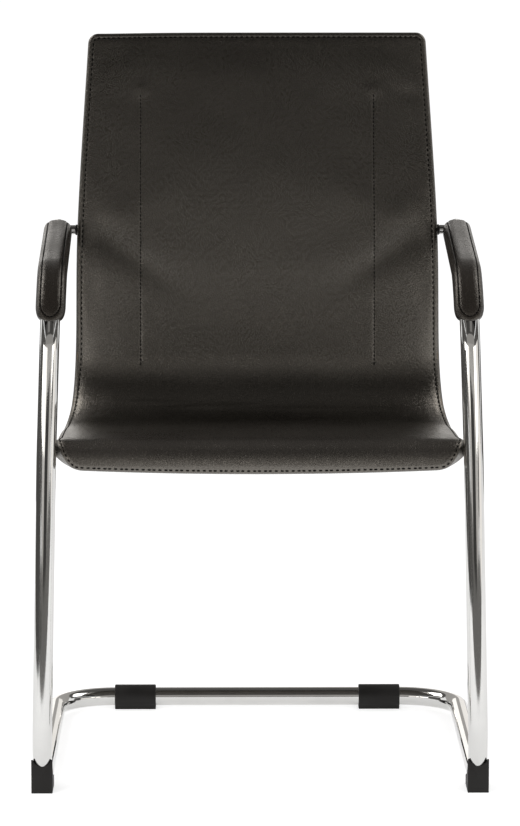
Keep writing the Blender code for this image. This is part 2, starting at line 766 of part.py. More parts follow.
def make_frame(chrome, plastic, steel):
    bar_radius = TUBE_RADIUS
    paths, spaces = {}, {}
    half = GLIDE_CENTRE - GAP / 2
    axis = Vector((1, 0, 0))
    bar_start = Vector((-half, REAR_BAR_DEPTH, TUBE_HEIGHT))
    inner = bar_radius - TUBE_WALL
    tube_piece("rear_cross_tube", bar_start, axis, 2 * half, bar_radius, inner, chrome, TUBE_SIDES)
    for side, sign in SIDES:
        path = side_tube_path(sign)
        paths[side] = path
        tube = swept_tube("side_tube_" + side, path, bar_radius, inner, TUBE_SIDES, chrome)
        name = "tube_space_" + side
        spaces[side] = swept_tube(name, path, bar_radius + GAP, 0, TUBE_SIDES, chrome)
        hole = Vector((sign * FLOOR_HALF_WIDTH, FOOT_SCREW_DEPTH, 0))
        profile = [(0, FOOT_SCREW_SHANK / 2 + GAP), (TUBE_HEIGHT, FOOT_SCREW_SHANK / 2 + GAP)]
        up = Vector((0, 0, 1))
        cut(tube, turned("tube_screw_hole_" + side, hole, up, profile, steel))
        start = Vector((sign * GLIDE_CENTRE - SLEEVE_LENGTH / 2, REAR_BAR_DEPTH, TUBE_HEIGHT))
        outer = (inner - GAP) * math.cos(math.pi / TUBE_SIDES)
        name = "joint_sleeve_" + side
        tube_piece(name, start, axis, SLEEVE_LENGTH, outer, outer - SLEEVE_WALL, steel, TUBE_SIDES)
        foot(side, sign, spaces[side], plastic, steel)
        glide(side, sign, plastic)
        end, ahead = along(path, stations(path)[-1])
        plug = (inner - GAP) * math.cos(math.pi / TUBE_SIDES)
        rim = bar_radius
        profile = [(-PLUG_LENGTH, plug - TUBE_WALL), (-PLUG_LENGTH + TUBE_WALL, plug), (GAP, plug)]
        profile += [(GAP, rim), (GAP + PLUG_RIM / 2, rim), (GAP + PLUG_RIM, rim - PLUG_RIM)]
        turned("arm_end_plug_" + side, end, ahead, profile, plastic, TUBE_SIDES)
    return paths, spaces


def make_fixings(paths, spaces, shell_parts, chrome, plastic, steel):
    """Bolts, spacers and threaded inserts at the four points that hold the shell."""
    cover, rails = shell_parts
    for side, sign in SIDES:
        path = paths[side]
        out = Vector((sign, 0, 0))
        place, _ = along(SHELL, CONNECTOR_LENGTH)
        arm = next_at_depth(path, place.y)
        tube_inside = abs(arm.x) - TUBE_RADIUS
        shell_side = half_width(CONNECTOR_LENGTH, 0)
        rail_side = half_width(CONNECTOR_LENGTH, RAIL_INSET)
        centre = Vector((0, place.y, place.z))
        span = tube_inside - shell_side - GAP
        washer = span * WASHER_SHARE
        bore = BOLT_SHANK / 2 + GAP
        first = centre + out * (shell_side + GAP)
        name = "back_washer_" + side
        tube_piece(name, first, out, washer, WASHER_DIAMETER / 2, bore, plastic)
        start = first + out * (washer + GAP)
        ferrule = span - washer - GAP + FERRULE_BITE
        name = "back_ferrule_" + side
        made = tube_piece(name, start, out, ferrule, FERRULE_DIAMETER / 2, bore, chrome)
        cut(made, spaces[side])
        tube = bpy.data.objects["side_tube_" + side]
        reach = tube_inside + TUBE_DIAMETER + CUT_OVERRUN
        hole = centre + out * (tube_inside - CUT_OVERRUN)
        profile = [(0, bore), (reach - tube_inside + CUT_OVERRUN, bore)]
        cut(tube, turned("arm_bolt_hole_" + side, hole, out, profile, steel))
        head_seat = tube_inside + TUBE_DIAMETER + GAP
        shell_hole(side, "back", sign, centre, shell_side, rail_side, cover, rails[side], steel)
        bolt_at("back_bolt_" + side, centre, out, rail_side, head_seat, steel)
        bracket(side, sign, path, cover, rails[side], chrome, plastic, steel)


def next_at_depth(path, depth):
    """The last point of the path at a depth from the front."""
    for a, b in reversed(list(zip(path, path[1:]))):
        if min(a.y, b.y) <= depth <= max(a.y, b.y):
            return a.lerp(b, (depth - a.y) / (b.y - a.y))


def shell_hole(side, place, sign, centre, shell_side, rail_side, cover, rail, finish):
    """Clears the bolt through the cover's side and the rail's wall, and seats its insert."""
    out = Vector((sign, 0, 0))
    bore = BOLT_SHANK / 2 + GAP
    start = centre + out * (rail_side - RAIL_WALL - CUT_OVERRUN)
    length = shell_side - rail_side + RAIL_WALL + 2 * CUT_OVERRUN
    for target in (cover, rail):
        name = place + "_hole_" + target.name
        profile = [(0, bore), (length, bore)]
        cut(target, turned(name + side, start, out, profile, finish))
    nut_outside = rail_side - RAIL_WALL - NUT_GAP
    nut = centre + out * (nut_outside - NUT_LENGTH)
    tube_piece(place + "_nut_" + side, nut, out, NUT_LENGTH, NUT_DIAMETER / 2, bore, finish)


def bolt_at(name, centre, out, rail_side, head_seat, finish):
    """A bolt from its head outside to the inner end of its insert."""
    start = rail_side - RAIL_WALL - NUT_GAP - NUT_LENGTH
    shank, head = BOLT_SHANK / 2, BOLT_HEAD / 2
    profile = [
        (start, shank),
        (head_seat, shank),
        (head_seat, head),
        (head_seat + BOLT_HEAD_HEIGHT / 2, head),
        (head_seat + BOLT_HEAD_HEIGHT, head * BOLT_HEAD_TOP_SHARE),
    ]
    turned(name, centre, out, profile, finish)


def bracket(side, sign, path, cover, rail, chrome, plastic, steel):
    """The tab behind the upright, with the bolt and bush that hold the seat's side."""
    out = Vector((sign, 0, 0))
    place, _ = along(SHELL, SEAT_BOLT_LENGTH)
    centre = Vector((0, place.y, place.z))
    length = length_at_height(path, place.z, last=False)
    upright, ahead = along(path, length)
    middle = abs(upright.x)
    half = BRACKET_HEIGHT / 2
    lean = ahead.y / ahead.z
    front = upright.y + (TUBE_RADIUS + GAP) / math.cos(math.atan(lean))
    outline = [(front - half * lean, -half), (place.y, -half)]
    for angle in BRACKET_TURNS:
        turn = math.radians(angle)
        outline.append((place.y + BRACKET_TAIL * math.cos(turn), half * math.sin(turn)))
    outline += [(place.y, half), (front + half * lean, half)]
    rings = []
    for x in (middle - BRACKET_THICKNESS / 2, middle + BRACKET_THICKNESS / 2):
        rings.append([Vector((sign * x, y, place.z + z)) for y, z in outline])
    tab = loft("seat_bracket_" + side, rings, chrome)
    bore = BOLT_SHANK / 2 + GAP
    start = centre + out * (middle - BRACKET_THICKNESS)
    profile = [(0, bore), (2 * BRACKET_THICKNESS, bore)]
    cut(tab, turned("bracket_hole_" + side, start, out, profile, steel))
    shell_side = half_width(SEAT_BOLT_LENGTH, 0)
    rail_side = half_width(SEAT_BOLT_LENGTH, RAIL_INSET)
    bush_start = centre + out * (shell_side + GAP)
    bush = middle - BRACKET_THICKNESS / 2 - shell_side - 2 * GAP
    tube_piece("seat_bush_" + side, bush_start, out, bush, WASHER_DIAMETER / 2, bore, plastic)
    shell_hole(side, "seat", sign, centre, shell_side, rail_side, cover, rail, steel)
    head_seat = middle + BRACKET_THICKNESS / 2 + GAP
    bolt_at("seat_bolt_" + side, centre, out, rail_side, head_seat, steel)


def make_shell(leather, foam, board, steel):
    """The rails, panel, foam and covers of the one-piece seat and back."""
    rails = {}
    for side, sign in SIDES:
        rails[side] = side_rail("side_rail_" + side, sign, steel)
    for name, length in (
        ("front_rail", FRONT_CORNER_RADIUS + RAIL_SETBACK),
        ("seat_rear_rail", SEAT_END - RAIL_SETBACK),
        ("lumbar_rail", CONNECTOR_LENGTH),
        ("top_rail", SHELL_LENGTH - TOP_CORNER_RADIUS - RAIL_WIDTH / 2),
    ):
        widest = min(half_width(length + k * RAIL_WIDTH / 2, RAIL_INSET) for k in (-1, 0, 1))
        reach = widest - RAIL_WIDTH - RAIL_END_GAP
        rail_box(name, length, -reach, reach, steel)
    inset = SOFT_INSET
    panel_top, panel_bottom = level(PANEL_TOP), level(PANEL_BOTTOM)
    shell_layer("support_panel", PLAIN_COLUMNS, (inset, panel_top), (inset, panel_bottom), [], board)
    bottom = (inset, level(FOAM_BOTTOM))
    shell_layer("foam_pad", COLUMNS, (inset, foam_top), bottom, [], foam)
    lowest = REAR_BOTTOM
    loops = [
        (EDGE_ROUND * EDGE_LOOP_SHARE, edge_above(1 - EDGE_LOOP_SHARE)),
        (0, edge_above(0)),
        (0, level(lowest)),
        (COVER, level(lowest)),
        (COVER, level(PANEL_TOP)),
    ]
    top = (EDGE_ROUND, cover_outside)
    cover = shell_layer("front_cover", COLUMNS, top, (COVER, cover_inside), loops, leather)
    top, bottom = (inset, level(REAR_TOP)), (inset, level(lowest))
    shell_layer("rear_cover", PLAIN_COLUMNS, top, bottom, [], leather)
    return cover, rails


def centre_on_origin(paths):
    """Moves every object so that the middle of the overall depth is at the origin."""
    front = min(p.y for p in paths["left"]) - TUBE_RADIUS
    corner = shell_point(SHELL_LENGTH, 0, REAR_BOTTOM)
    middle = (front + corner.y) / 2
    for made in bpy.data.objects:
        made.data.transform(Matrix.Translation((0, -middle, 0)))


def main():
    clear_scene()
    chrome = material("chrome", (0.86, 0.87, 0.88), 0.06, 1)
    steel = material("steel", (0.45, 0.45, 0.46), 0.35, 1)
    plastic = material("black_plastic", (0.015, 0.015, 0.016), 0.45)
    leather = material("black_leather", (0.035, 0.032, 0.029), 0.42)
    foam = material("foam", (0.62, 0.60, 0.52), 0.9)
    board = material("board", (0.42, 0.30, 0.18), 0.7)
    shell_parts = make_shell(leather, foam, board, steel)
    paths, spaces = make_frame(chrome, plastic, steel)
    for side, _ in SIDES:
        arm_pad(side, paths[side], foam, leather)
    make_fixings(paths, spaces, shell_parts, chrome, plastic, steel)
    centre_on_origin(paths)


main()
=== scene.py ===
"""Looks for the guest chair: leather shell and arm pads, bright tube frame, black plastic feet.

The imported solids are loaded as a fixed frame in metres, with the front towards -Y. Each operator
models one piece or a group of like pieces over those solids, and the last one sets the stage.
"""

import json
import math

import bpy
import numpy as np
from bpy.props import FloatProperty, FloatVectorProperty, PointerProperty
from mathutils import Matrix, Vector


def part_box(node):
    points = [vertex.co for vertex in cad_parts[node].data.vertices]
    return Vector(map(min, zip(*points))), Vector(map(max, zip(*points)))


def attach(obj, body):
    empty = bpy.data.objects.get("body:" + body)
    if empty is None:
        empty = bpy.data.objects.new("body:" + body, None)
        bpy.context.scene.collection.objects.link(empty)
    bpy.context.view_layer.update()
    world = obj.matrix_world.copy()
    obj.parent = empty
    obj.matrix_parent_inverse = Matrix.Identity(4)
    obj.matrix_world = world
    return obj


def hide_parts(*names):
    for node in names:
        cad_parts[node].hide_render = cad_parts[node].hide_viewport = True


bl_info = {
    "name": "Guest Chair Looks",
    "version": (1, 0, 0),
    "blender": (4, 5, 0),
    "location": "3D View > Sidebar > Chair",
    "description": "Models the leather, bright tube and plastic of a guest chair over its solids",
    "category": "Object",
}

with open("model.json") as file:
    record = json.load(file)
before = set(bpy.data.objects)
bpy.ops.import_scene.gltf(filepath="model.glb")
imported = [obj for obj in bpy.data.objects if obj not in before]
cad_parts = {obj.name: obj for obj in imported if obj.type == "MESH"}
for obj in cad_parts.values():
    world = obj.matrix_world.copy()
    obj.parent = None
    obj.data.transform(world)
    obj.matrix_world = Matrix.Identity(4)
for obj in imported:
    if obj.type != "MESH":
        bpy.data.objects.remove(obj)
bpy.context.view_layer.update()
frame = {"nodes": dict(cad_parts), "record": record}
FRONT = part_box("front_foot_left")[0][1]
SIDES = (("left", -1), ("right", 1))

# Frame line, the same values as the solids, with depths behind the front face of the feet
TUBE_RADIUS = 0.0125
TUBE_HEIGHT = 0.0165
FLOOR_HALF_WIDTH = 0.278
KNEE_HALF_WIDTH = 0.2702
KNEE_HEIGHT = 0.430
ARM_FRONT_HALF_WIDTH = 0.2632
ARM_REAR_HALF_WIDTH = 0.2722
REAR_BAR_DEPTH = 0.513
FRONT_BEND_DEPTH = 0.0645
FRONT_BEND_RADIUS = 0.070
REAR_CORNER_RADIUS = 0.080
KNEE_RADIUS = 0.90
ARM_BEND_RADIUS = 0.100
UPRIGHT_LEAN = math.radians(4.5)
ARM_SLOPE = math.radians(3.0)
ARM_TAIL = 0.014
CONNECTOR_HEIGHT = 0.6745
ARM_BEND_HEIGHT = 0.653
GLIDE_CENTRE = 0.170
GLIDE_LENGTH = 0.057
GLIDE_RADIUS = 0.0165
GLIDE_SOLE = 0.011
FOOT_WIDTH = 0.027
FOOT_HEIGHT = 0.0435
FOOT_LENGTH = 0.050
FOOT_SCOOP = 0.0352
FOOT_DEPTHS = (0, 0.004, 0.010, 0.025, 0.050)
FOOT_TOPS = (0.0435, 0.0435, 0.0326, 0.0195, 0.013)
PAD_START_HEIGHT = 0.6045
PAD_END_SETBACK = 0.023
PAD_SQUARENESS = 2.6
PAD_TONGUE = 0.0080
PAD_SEAM_INSET = 0.0062
PAD_SEAM_CORNER = 0.0006
PAD_SEAM_END = 0.0036
PAD_END_ROWS = 0.013

# Core line of the shell and its half widths
LIP_DEPTH = 0.030
LIP_HEIGHT = 0.413
LIP_STEEPNESS = math.radians(80)
CREST_DEPTH = 0.0336
CREST_RADIUS = 0.020
SEAT_DEPTH = 0.4186
SEAT_RAKE = math.radians(4.6)
SEAT_BACK_RADIUS = 0.104
LOWER_BACK_RISE = 0.2430
LOWER_BACK_LEAN = math.radians(2)
LUMBAR_RADIUS = 1.0
UPPER_BACK_RISE = 0.2940
UPPER_BACK_LEAN = math.radians(16)
FRONT_CORNER = 0.033
TOP_CORNER = 0.013
FRONT_BOW = 0.006
FRONT_BOW_REACH = 0.066

# The leather over the core line: edges, seams, nose, rolled sides and stitched lines
EDGE_ROUND = 0.005
EDGE_TURNS = [math.radians(a) for a in (0, 18, 36, 54, 72, 90)]
UNDER_ROUND = 0.004
CORNER_DROOP = 0.0016
DROOP_REACH = 0.12
DROOP_WIDTH = 0.085
NOSE_FULLNESS = 0.0035
NOSE_REACH = 0.036
FRONT_SEAM_SHIFT = 0.0050
FRONT_SEAM_REACH = 0.030
FRONT_SEAM_SIDE = 0.0150
FRONT_SEAM_SIDE_REACH = 0.090
SEAM_WIDTH = 0.0010
WELT_HEIGHT = 0.0003
WELT_WIDTH = 0.0026
PUFF_SETBACK = 0.007
PUFF_WIDTH = 0.005
FLAT_BAND = 0.02
SHELL_BOTTOM = -0.0080
SHELL_EDGE_TOP = 0.0162
SHELL_SWELL = 0.0050
SWELL_SIDE_SHARE = 0.30
SWELL_END_SHARE = 0.075
ROLL_DROP = 0.0072
ROLL_WIDTH = 0.030
ROLL_START = 0.020
ROLL_START_REACH = 0.12
ROLL_END = 0.07
ROLL_END_REACH = 0.09
STITCH_LINE = 0.159
STITCH_BOTTOM_RISE = 0.075
STITCH_TOP_SETBACK = 0.088
STITCH_WIDTH = 0.0016
STITCH_FADE = 0.006
STITCH_PUCKER = 0.3
DIMPLE_DEPTH = 1.1
DIMPLE_LENGTH = 0.009
DIMPLE_WIDTH = 0.011
EDGE_BULGE = 0.0004
UNDER_RIM = 0.0090
UNDER_STEP = 0.0006
UNDER_STEP_HEIGHT = 0.0012
REAR_RIM = 0.0102
REAR_THICKNESS = 0.0008
REAR_ROUND = 0.0012
REAR_ROUND_HEIGHT = 0.0014
REAR_SEAM_INSET = 0.005
WAVINESS = 0.00022

# Small sizes of the frame's fittings
FERRULE_OVERRUN = 0.0036
JOINT_GAP = 0.0002
PLUG_LENGTH = 0.0024
PLUG_SETBACK = 0.0016
PLUG_EDGE = 0.0011
FOOT_GROOVE_CLEARANCE = 0.0003
FOOT_SCOOP_LENGTH = 0.024
GLIDE_BORE_CLEARANCE = 0.0002
FINE_EDGE = 0.0005
GLIDE_EDGE = 0.0010
BOLT_HEAD = 0.0040
BOLT_EDGE = 0.0018
SOCKET_DEPTH = 0.0022
SOCKET_RADIUS = 0.0030
SHANK_RADIUS = 0.0025
OVERRUN = 0.002
BRACKET_FLAT = 0.0006


class ChairSizes(bpy.types.PropertyGroup):
    """Sizes of the chair's looks"""

    seam_inset: FloatProperty(
        name="Edge seam inset",
        description="Distance of the stitched edge seam from the shell's edge",
        default=0.0074, min=0.004, max=0.015, unit="LENGTH",
    )
    seam_depth: FloatProperty(
        name="Edge seam depth",
        description="How deep the stitched edge seam draws the leather in",
        default=0.0008, min=0, max=0.003, unit="LENGTH",
    )
    quilt_depth: FloatProperty(
        name="Back stitch depth",
        description="How deep the two stitched lines draw the back in",
        default=0.0011, min=0, max=0.003, unit="LENGTH",
    )
    stitch_pitch: FloatProperty(
        name="Stitch pitch",
        description="Distance from one stitch to the next",
        default=0.0070, min=0.003, max=0.015, unit="LENGTH",
    )
    stitch_length: FloatProperty(
        name="Stitch length",
        description="Length of one stitch",
        default=0.0044, min=0.002, max=0.01, unit="LENGTH",
    )
    thread_width: FloatProperty(
        name="Thread width",
        description="Thickness of the sewing thread",
        default=0.0016, min=0.0003, max=0.0025, unit="LENGTH",
    )
    fold_height: FloatProperty(
        name="Fold height",
        description="Height of the soft folds in the leather",
        default=0.0016, min=0, max=0.004, unit="LENGTH",
    )
    pad_width: FloatProperty(
        name="Arm pad width",
        description="Width of the arm pads",
        default=0.038, min=0.03, max=0.05, unit="LENGTH",
    )
    pad_height: FloatProperty(
        name="Arm pad height",
        description="Height of the arm pads",
        default=0.032, min=0.028, max=0.05, unit="LENGTH",
    )
    pad_rounding: FloatProperty(
        name="Arm pad end rounding",
        description="Length over which the ends of the arm pads round in",
        default=0.011, min=0.004, max=0.02, unit="LENGTH",
    )
    grain_size: FloatProperty(
        name="Grain size",
        description="Size of one pebble of the leather's grain",
        default=0.0019, min=0.0003, max=0.005, unit="LENGTH",
    )


class ChairColours(bpy.types.PropertyGroup):
    """Colours of the chair's looks"""

    leather: FloatVectorProperty(
        name="Leather", description="Main colour of the leather",
        default=(0.0074, 0.0063, 0.0051), size=3, min=0, max=1, subtype="COLOR",
    )
    leather_worn: FloatVectorProperty(
        name="Worn leather", description="Colour of the leather where it is rubbed",
        default=(0.0094, 0.0081, 0.0066), size=3, min=0, max=1, subtype="COLOR",
    )
    # Lighter leather colour over the seat's front: painted light, standing in for the light that
    # part catches
    leather_painted_light: FloatVectorProperty(
        name="Rubbed front", description="Colour of the leather over the front of the seat",
        default=(0.0165, 0.0143, 0.0128), size=3, min=0, max=1, subtype="COLOR",
    )
    pad_leather: FloatVectorProperty(
        name="Arm pad leather", description="Main colour of the leather on the arm pads",
        default=(0.0135, 0.0108, 0.0088), size=3, min=0, max=1, subtype="COLOR",
    )
    thread: FloatVectorProperty(
        name="Thread", description="Colour of the sewing thread",
        default=(0.0012, 0.0011, 0.0010), size=3, min=0, max=1, subtype="COLOR",
    )
    bright: FloatVectorProperty(
        name="Bright plating", description="Colour of the plated tube",
        default=(0.74, 0.735, 0.72), size=3, min=0, max=1, subtype="COLOR",
    )
    steel: FloatVectorProperty(
        name="Steel", description="Colour of the bolts and rails",
        default=(0.50, 0.50, 0.51), size=3, min=0, max=1, subtype="COLOR",
    )
    plastic: FloatVectorProperty(
        name="Plastic", description="Colour of the feet, glides and plugs",
        default=(0.0125, 0.0115, 0.0108), size=3, min=0, max=1, subtype="COLOR",
    )
    board: FloatVectorProperty(
        name="Board", description="Colour of the panel inside the shell",
        default=(0.42, 0.30, 0.18), size=3, min=0, max=1, subtype="COLOR",
    )
    floor: FloatVectorProperty(
        name="Floor", description="Colour of the floor",
        default=(0.80, 0.80, 0.80), size=3, min=0, max=1, subtype="COLOR",
    )


# Lines that pieces follow


def bump(value, centre, width):
    """A smooth hill of height one round a centre."""
    return np.exp(-(((value - centre) / width) ** 2))


def unit(vectors):
    return vectors / np.linalg.norm(vectors, axis=-1, keepdims=True)


def way_along(points):
    """The length of the way from the first point to each point."""
    steps = np.linalg.norm(np.diff(points, axis=0), axis=1)
    return np.concatenate([[0], np.cumsum(steps)])


def read_off(value, knots, table):
    """Each column of a table at the values, with straight lines between its rows."""
    return np.stack([np.interp(value, knots, column) for column in table.T], axis=-1)


def smoothed(table, width, **ends):
    """Each column of a table, averaged over a run of rows."""
    padded = np.pad(table, ((width // 2, width // 2), (0, 0)), **ends)
    kernel = np.ones(width) / width
    return np.stack([np.convolve(column, kernel, "valid") for column in padded.T], axis=1)


def rounded_path(corners, radii, turn_step):
    """Points along straight runs between the corners, each inner corner rounded to its radius."""
    points = [corners[0].copy()]
    for before, corner, after, radius in zip(corners, corners[1:], corners[2:], radii):
        back = (before - corner).normalized()
        ahead = (after - corner).normalized()
        turn = math.pi - back.angle(ahead)
        setback = radius * math.tan(turn / 2)
        centre = corner + (back + ahead).normalized() * (radius / math.cos(turn / 2))
        start = corner + back * setback - centre
        axis = start.cross(corner + ahead * setback - centre).normalized()
        steps = max(2, math.ceil(turn / turn_step))
        for step in range(steps + 1):
            points.append(centre + Matrix.Rotation(turn * step / steps, 3, axis) @ start)
    points.append(corners[-1].copy())
    return points


def core_line():
    """Lengths, places and directions along the shell's core line, in depth and height."""
    lip = Vector((0, LIP_DEPTH, LIP_HEIGHT))
    crest_rise = (CREST_DEPTH - LIP_DEPTH) * math.tan(LIP_STEEPNESS)
    crest = Vector((0, CREST_DEPTH, LIP_HEIGHT + crest_rise))
    seat_rear = crest + SEAT_DEPTH * Vector((0, 1, -math.tan(SEAT_RAKE)))
    lumbar = seat_rear + LOWER_BACK_RISE * Vector((0, math.tan(LOWER_BACK_LEAN), 1))
    top = lumbar + UPPER_BACK_RISE * Vector((0, math.tan(UPPER_BACK_LEAN), 1))
    radii = (CREST_RADIUS, SEAT_BACK_RADIUS, LUMBAR_RADIUS)
    path = rounded_path([lip, crest, seat_rear, lumbar, top], radii, math.radians(1))
    close = []
    for a, b in zip(path, path[1:]):
        count = math.ceil((b - a).length / 0.0005)
        close += [a.lerp(b, i / count) for i in range(count)]
    places = np.array([(p.y, p.z) for p in close + [path[-1]]])
    lengths = way_along(places)
    return lengths, places, unit(smoothed(np.gradient(places, lengths, axis=0), 9, mode="edge"))


CORE_LENGTHS, CORE_PLACES, CORE_AHEAD = core_line()
SHELL_LENGTH = CORE_LENGTHS[-1]


def length_at(height):
    """The length along the core line at a height of the back."""
    lowest = np.argmin(CORE_PLACES[:, 1] + (CORE_LENGTHS < 0.2))
    return float(np.interp(height, CORE_PLACES[lowest:, 1], CORE_LENGTHS[lowest:]))


BACK_START = length_at(LIP_HEIGHT + SEAT_BACK_RADIUS)
STITCH_START = BACK_START + STITCH_BOTTOM_RISE - SEAT_BACK_RADIUS
STITCH_END = SHELL_LENGTH - STITCH_TOP_SETBACK
SEAT_END = BACK_START - SEAT_BACK_RADIUS * math.pi / 2
SEAT_START = CREST_RADIUS * math.radians(90) + LIP_DEPTH / 2
CONNECTOR_LENGTH = length_at(CONNECTOR_HEIGHT)
WIDTHS = np.array([
    (0, 0.2570),
    (SEAT_START, 0.2605),
    ((SEAT_START + SEAT_END) / 2, 0.2630),
    (SEAT_END, 0.2622),
    ((SEAT_END + BACK_START) / 2, 0.2522),
    (BACK_START, 0.2476),
    (CONNECTOR_LENGTH, 0.2452),
    (SHELL_LENGTH, 0.2305),
])


def full_half_width(length):
    """The shell's half width at each length, as a smooth curve through the table."""
    x, y = WIDTHS[:, 0], WIDTHS[:, 1]
    rank, last = np.arange(len(x)), len(x) - 1
    before, after = np.maximum(rank - 1, 0), np.minimum(rank + 1, last)
    slopes = (y[after] - y[before]) / (x[after] - x[before])
    i = np.clip(np.searchsorted(x, length, side="left") - 1, 0, last - 1)
    span = x[i + 1] - x[i]
    t = np.clip((length - x[i]) / span, 0, 1)
    rise = y[i] + (y[i + 1] - y[i]) * (3 * t ** 2 - 2 * t ** 3)
    lean = slopes[i] * (t - 2 * t ** 2 + t ** 3) + slopes[i + 1] * (t ** 3 - t ** 2)
    return rise + lean * span


def corner_cut(distance, radius):
    """How far a rounded corner draws the side in, at a distance from the end."""
    reach = np.clip(radius - np.maximum(distance, 0), 0, radius)
    return radius - np.sqrt(np.maximum(radius ** 2 - reach ** 2, 0))


def drawn_in(base, inset):
    """Row lengths and half widths of the shell's outline, drawn in by an inset."""
    front, top = np.maximum(FRONT_CORNER - inset, 0.0003), np.maximum(TOP_CORNER - inset, 0.0003)
    left = SHELL_LENGTH - base
    length = np.where(base <= FRONT_CORNER, inset + front * base / FRONT_CORNER, base)
    length = np.where(left <= TOP_CORNER, SHELL_LENGTH - inset - top * left / TOP_CORNER, length)
    cut = corner_cut(length - inset, front) + corner_cut(SHELL_LENGTH - inset - length, top)
    return length, full_half_width(length) - inset - cut


def edge_distance(length, across):
    """Distance to the shell's rounded outline, measured on the leather."""
    side = full_half_width(length) - np.abs(across)
    distance = np.full_like(side, 1.0)
    for end, radius in ((length, FRONT_CORNER), (SHELL_LENGTH - length, TOP_CORNER)):
        corner = radius - np.hypot(radius - side, radius - end)
        near = np.where((side < radius) & (end < radius), corner, np.minimum(side, end))
        distance = np.minimum(distance, near)
    return distance


def seam_space(length, across):
    """Where a place would lie if the edge seam kept one distance from the edge all round."""
    shift = FRONT_SEAM_SHIFT * np.clip(1 - length / FRONT_SEAM_REACH, 0, 1)
    closer = FRONT_SEAM_SIDE * np.clip(1 - length / FRONT_SEAM_SIDE_REACH, 0, 1)
    return length + shift, across * (1 - closer)


def on_shell(length, across, offset):
    """World points at lengths along the core line, distances across and offsets from it."""
    half = full_half_width(length)
    fade = np.maximum(0, 1 - length / FRONT_BOW_REACH)
    length = length - FRONT_BOW * (1 - (across / half) ** 2) * fade
    upper = np.clip(1 - (SHELL_LENGTH - length) / DROOP_REACH, 0, 1) ** 2
    length = length - CORNER_DROOP * upper * bump(across, -half, DROOP_WIDTH)
    inside = np.clip(length, 0, SHELL_LENGTH)
    ahead = read_off(inside, CORE_LENGTHS, CORE_AHEAD)
    place = read_off(inside, CORE_LENGTHS, CORE_PLACES) + ahead * (length - inside)[..., None]
    y = place[..., 0] - ahead[..., 1] * offset + FRONT
    z = place[..., 1] + ahead[..., 0] * offset
    return np.stack([across + 0 * y, y, z], axis=-1)


def quilt_line(length, across, sizes):
    """Depth of the two stitched lines of the back, with a pucker at each stitch."""
    away = np.abs(np.abs(across) - STITCH_LINE)
    shown = np.clip((length - STITCH_START) / STITCH_FADE, 0, 1)
    shown = shown * np.clip((STITCH_END - length) / STITCH_FADE, 0, 1)
    pucker = 1 + STITCH_PUCKER * np.cos(2 * math.pi * (length - STITCH_START) / sizes.stitch_pitch)
    line = np.exp(-away / STITCH_WIDTH) * pucker * shown
    dimple = bump(length, STITCH_END + STITCH_FADE, DIMPLE_LENGTH) * bump(away, 0, DIMPLE_WIDTH)
    return sizes.quilt_depth * (line - DIMPLE_DEPTH * dimple)


MIRRORED_FOLDS = (
    # length, distance across, angle from straight up, half length, half width, height
    (0.690, 0.160, 62, 0.075, 0.018, 0.5),
    (0.600, 0.205, 12, 0.060, 0.012, 0.35),
    (0.880, 0.185, 78, 0.026, 0.010, 0.25),
)
SINGLE_FOLDS = (
    (0.402, -0.150, 88, 0.050, 0.0040, 0.55),
    (0.392, -0.060, 94, 0.075, 0.0045, 0.45),
    (0.385, 0.060, 89, 0.110, 0.0050, 0.35),
    (0.415, 0.120, 84, 0.060, 0.0050, 0.30),
    (0.842, 0.215, 70, 0.022, 0.010, -0.8),
)
SAG_LINE = np.array([
    # distance across, how far the crease hangs below the arm fixings
    (0, 0.106), (0.042, 0.102), (0.084, 0.092), (0.120, 0.078), (0.145, 0.060),
    (0.174, 0.040), (0.194, 0.028), (0.215, 0.016), (0.25, 0.010),
])
SAG_FADE = np.array([
    # distance across, strength of the crease
    (0, 0.10), (0.05, 0.30), (0.12, 0.80), (0.19, 1.0), (0.22, 0.75), (0.25, 0.3),
])


def sag(length, across):
    """The crease that hangs between the two arm fixings, deepest near them."""
    side = np.abs(across)
    away = length - (CONNECTOR_LENGTH - np.interp(side, *SAG_LINE.T))
    fade = np.interp(side, *SAG_FADE.T)
    crease = -2.0 * fade * bump(away, 0.006, 0.020)
    above = (0.35 + 0.45 * fade) * bump(away, 0.046, 0.028)
    return crease + above + 0.45 * fade * bump(away, -0.040, 0.026)


def folds(length, across, sizes):
    """Soft folds below the arm fixings and beside the stitched lines, and single wrinkles."""
    height = sag(length, across)
    both = [(l, s * a, s * g, *rest) for l, a, g, *rest in MIRRORED_FOLDS for s in (-1, 1)]
    for place, side, angle, half_length, half_width, amount in both + list(SINGLE_FOLDS):
        turn = math.radians(angle)
        up, out = length - place, across - side
        along = up * math.cos(turn) - out * math.sin(turn)
        away = up * math.sin(turn) + out * math.cos(turn)
        height += amount * np.exp(-((along / half_length) ** 2) - (away / half_width) ** 2)
    return height * sizes.fold_height


WAVES = (
    # turns in radians a metre along and across, start of the wave in radians
    (61, 23, 0.3), (37, 52, 1.9), (83, -41, 4.1), (29, 88, 2.2), (112, 64, 5.0),
)


def unevenness(length, across):
    """The slight waviness of leather over foam."""
    height = np.zeros_like(across)
    for i, (f, g, phase) in enumerate(WAVES):
        height += np.sin(f * length + g * across + phase) / (i + 2)
    return height * WAVINESS


def side_roll(length, across):
    """How far the leather rolls down at the sides of the seat and of the bend behind it."""
    side = full_half_width(length) - np.abs(across)
    shown = np.clip((length - ROLL_START) / ROLL_START_REACH, 0, 1)
    shown = shown * np.clip((BACK_START + ROLL_END - length) / ROLL_END_REACH, 0, 1)
    near = 1 - np.clip(side / ROLL_WIDTH, 0, 1)
    return ROLL_DROP * shown ** 2 * (3 - 2 * shown) * near ** 2


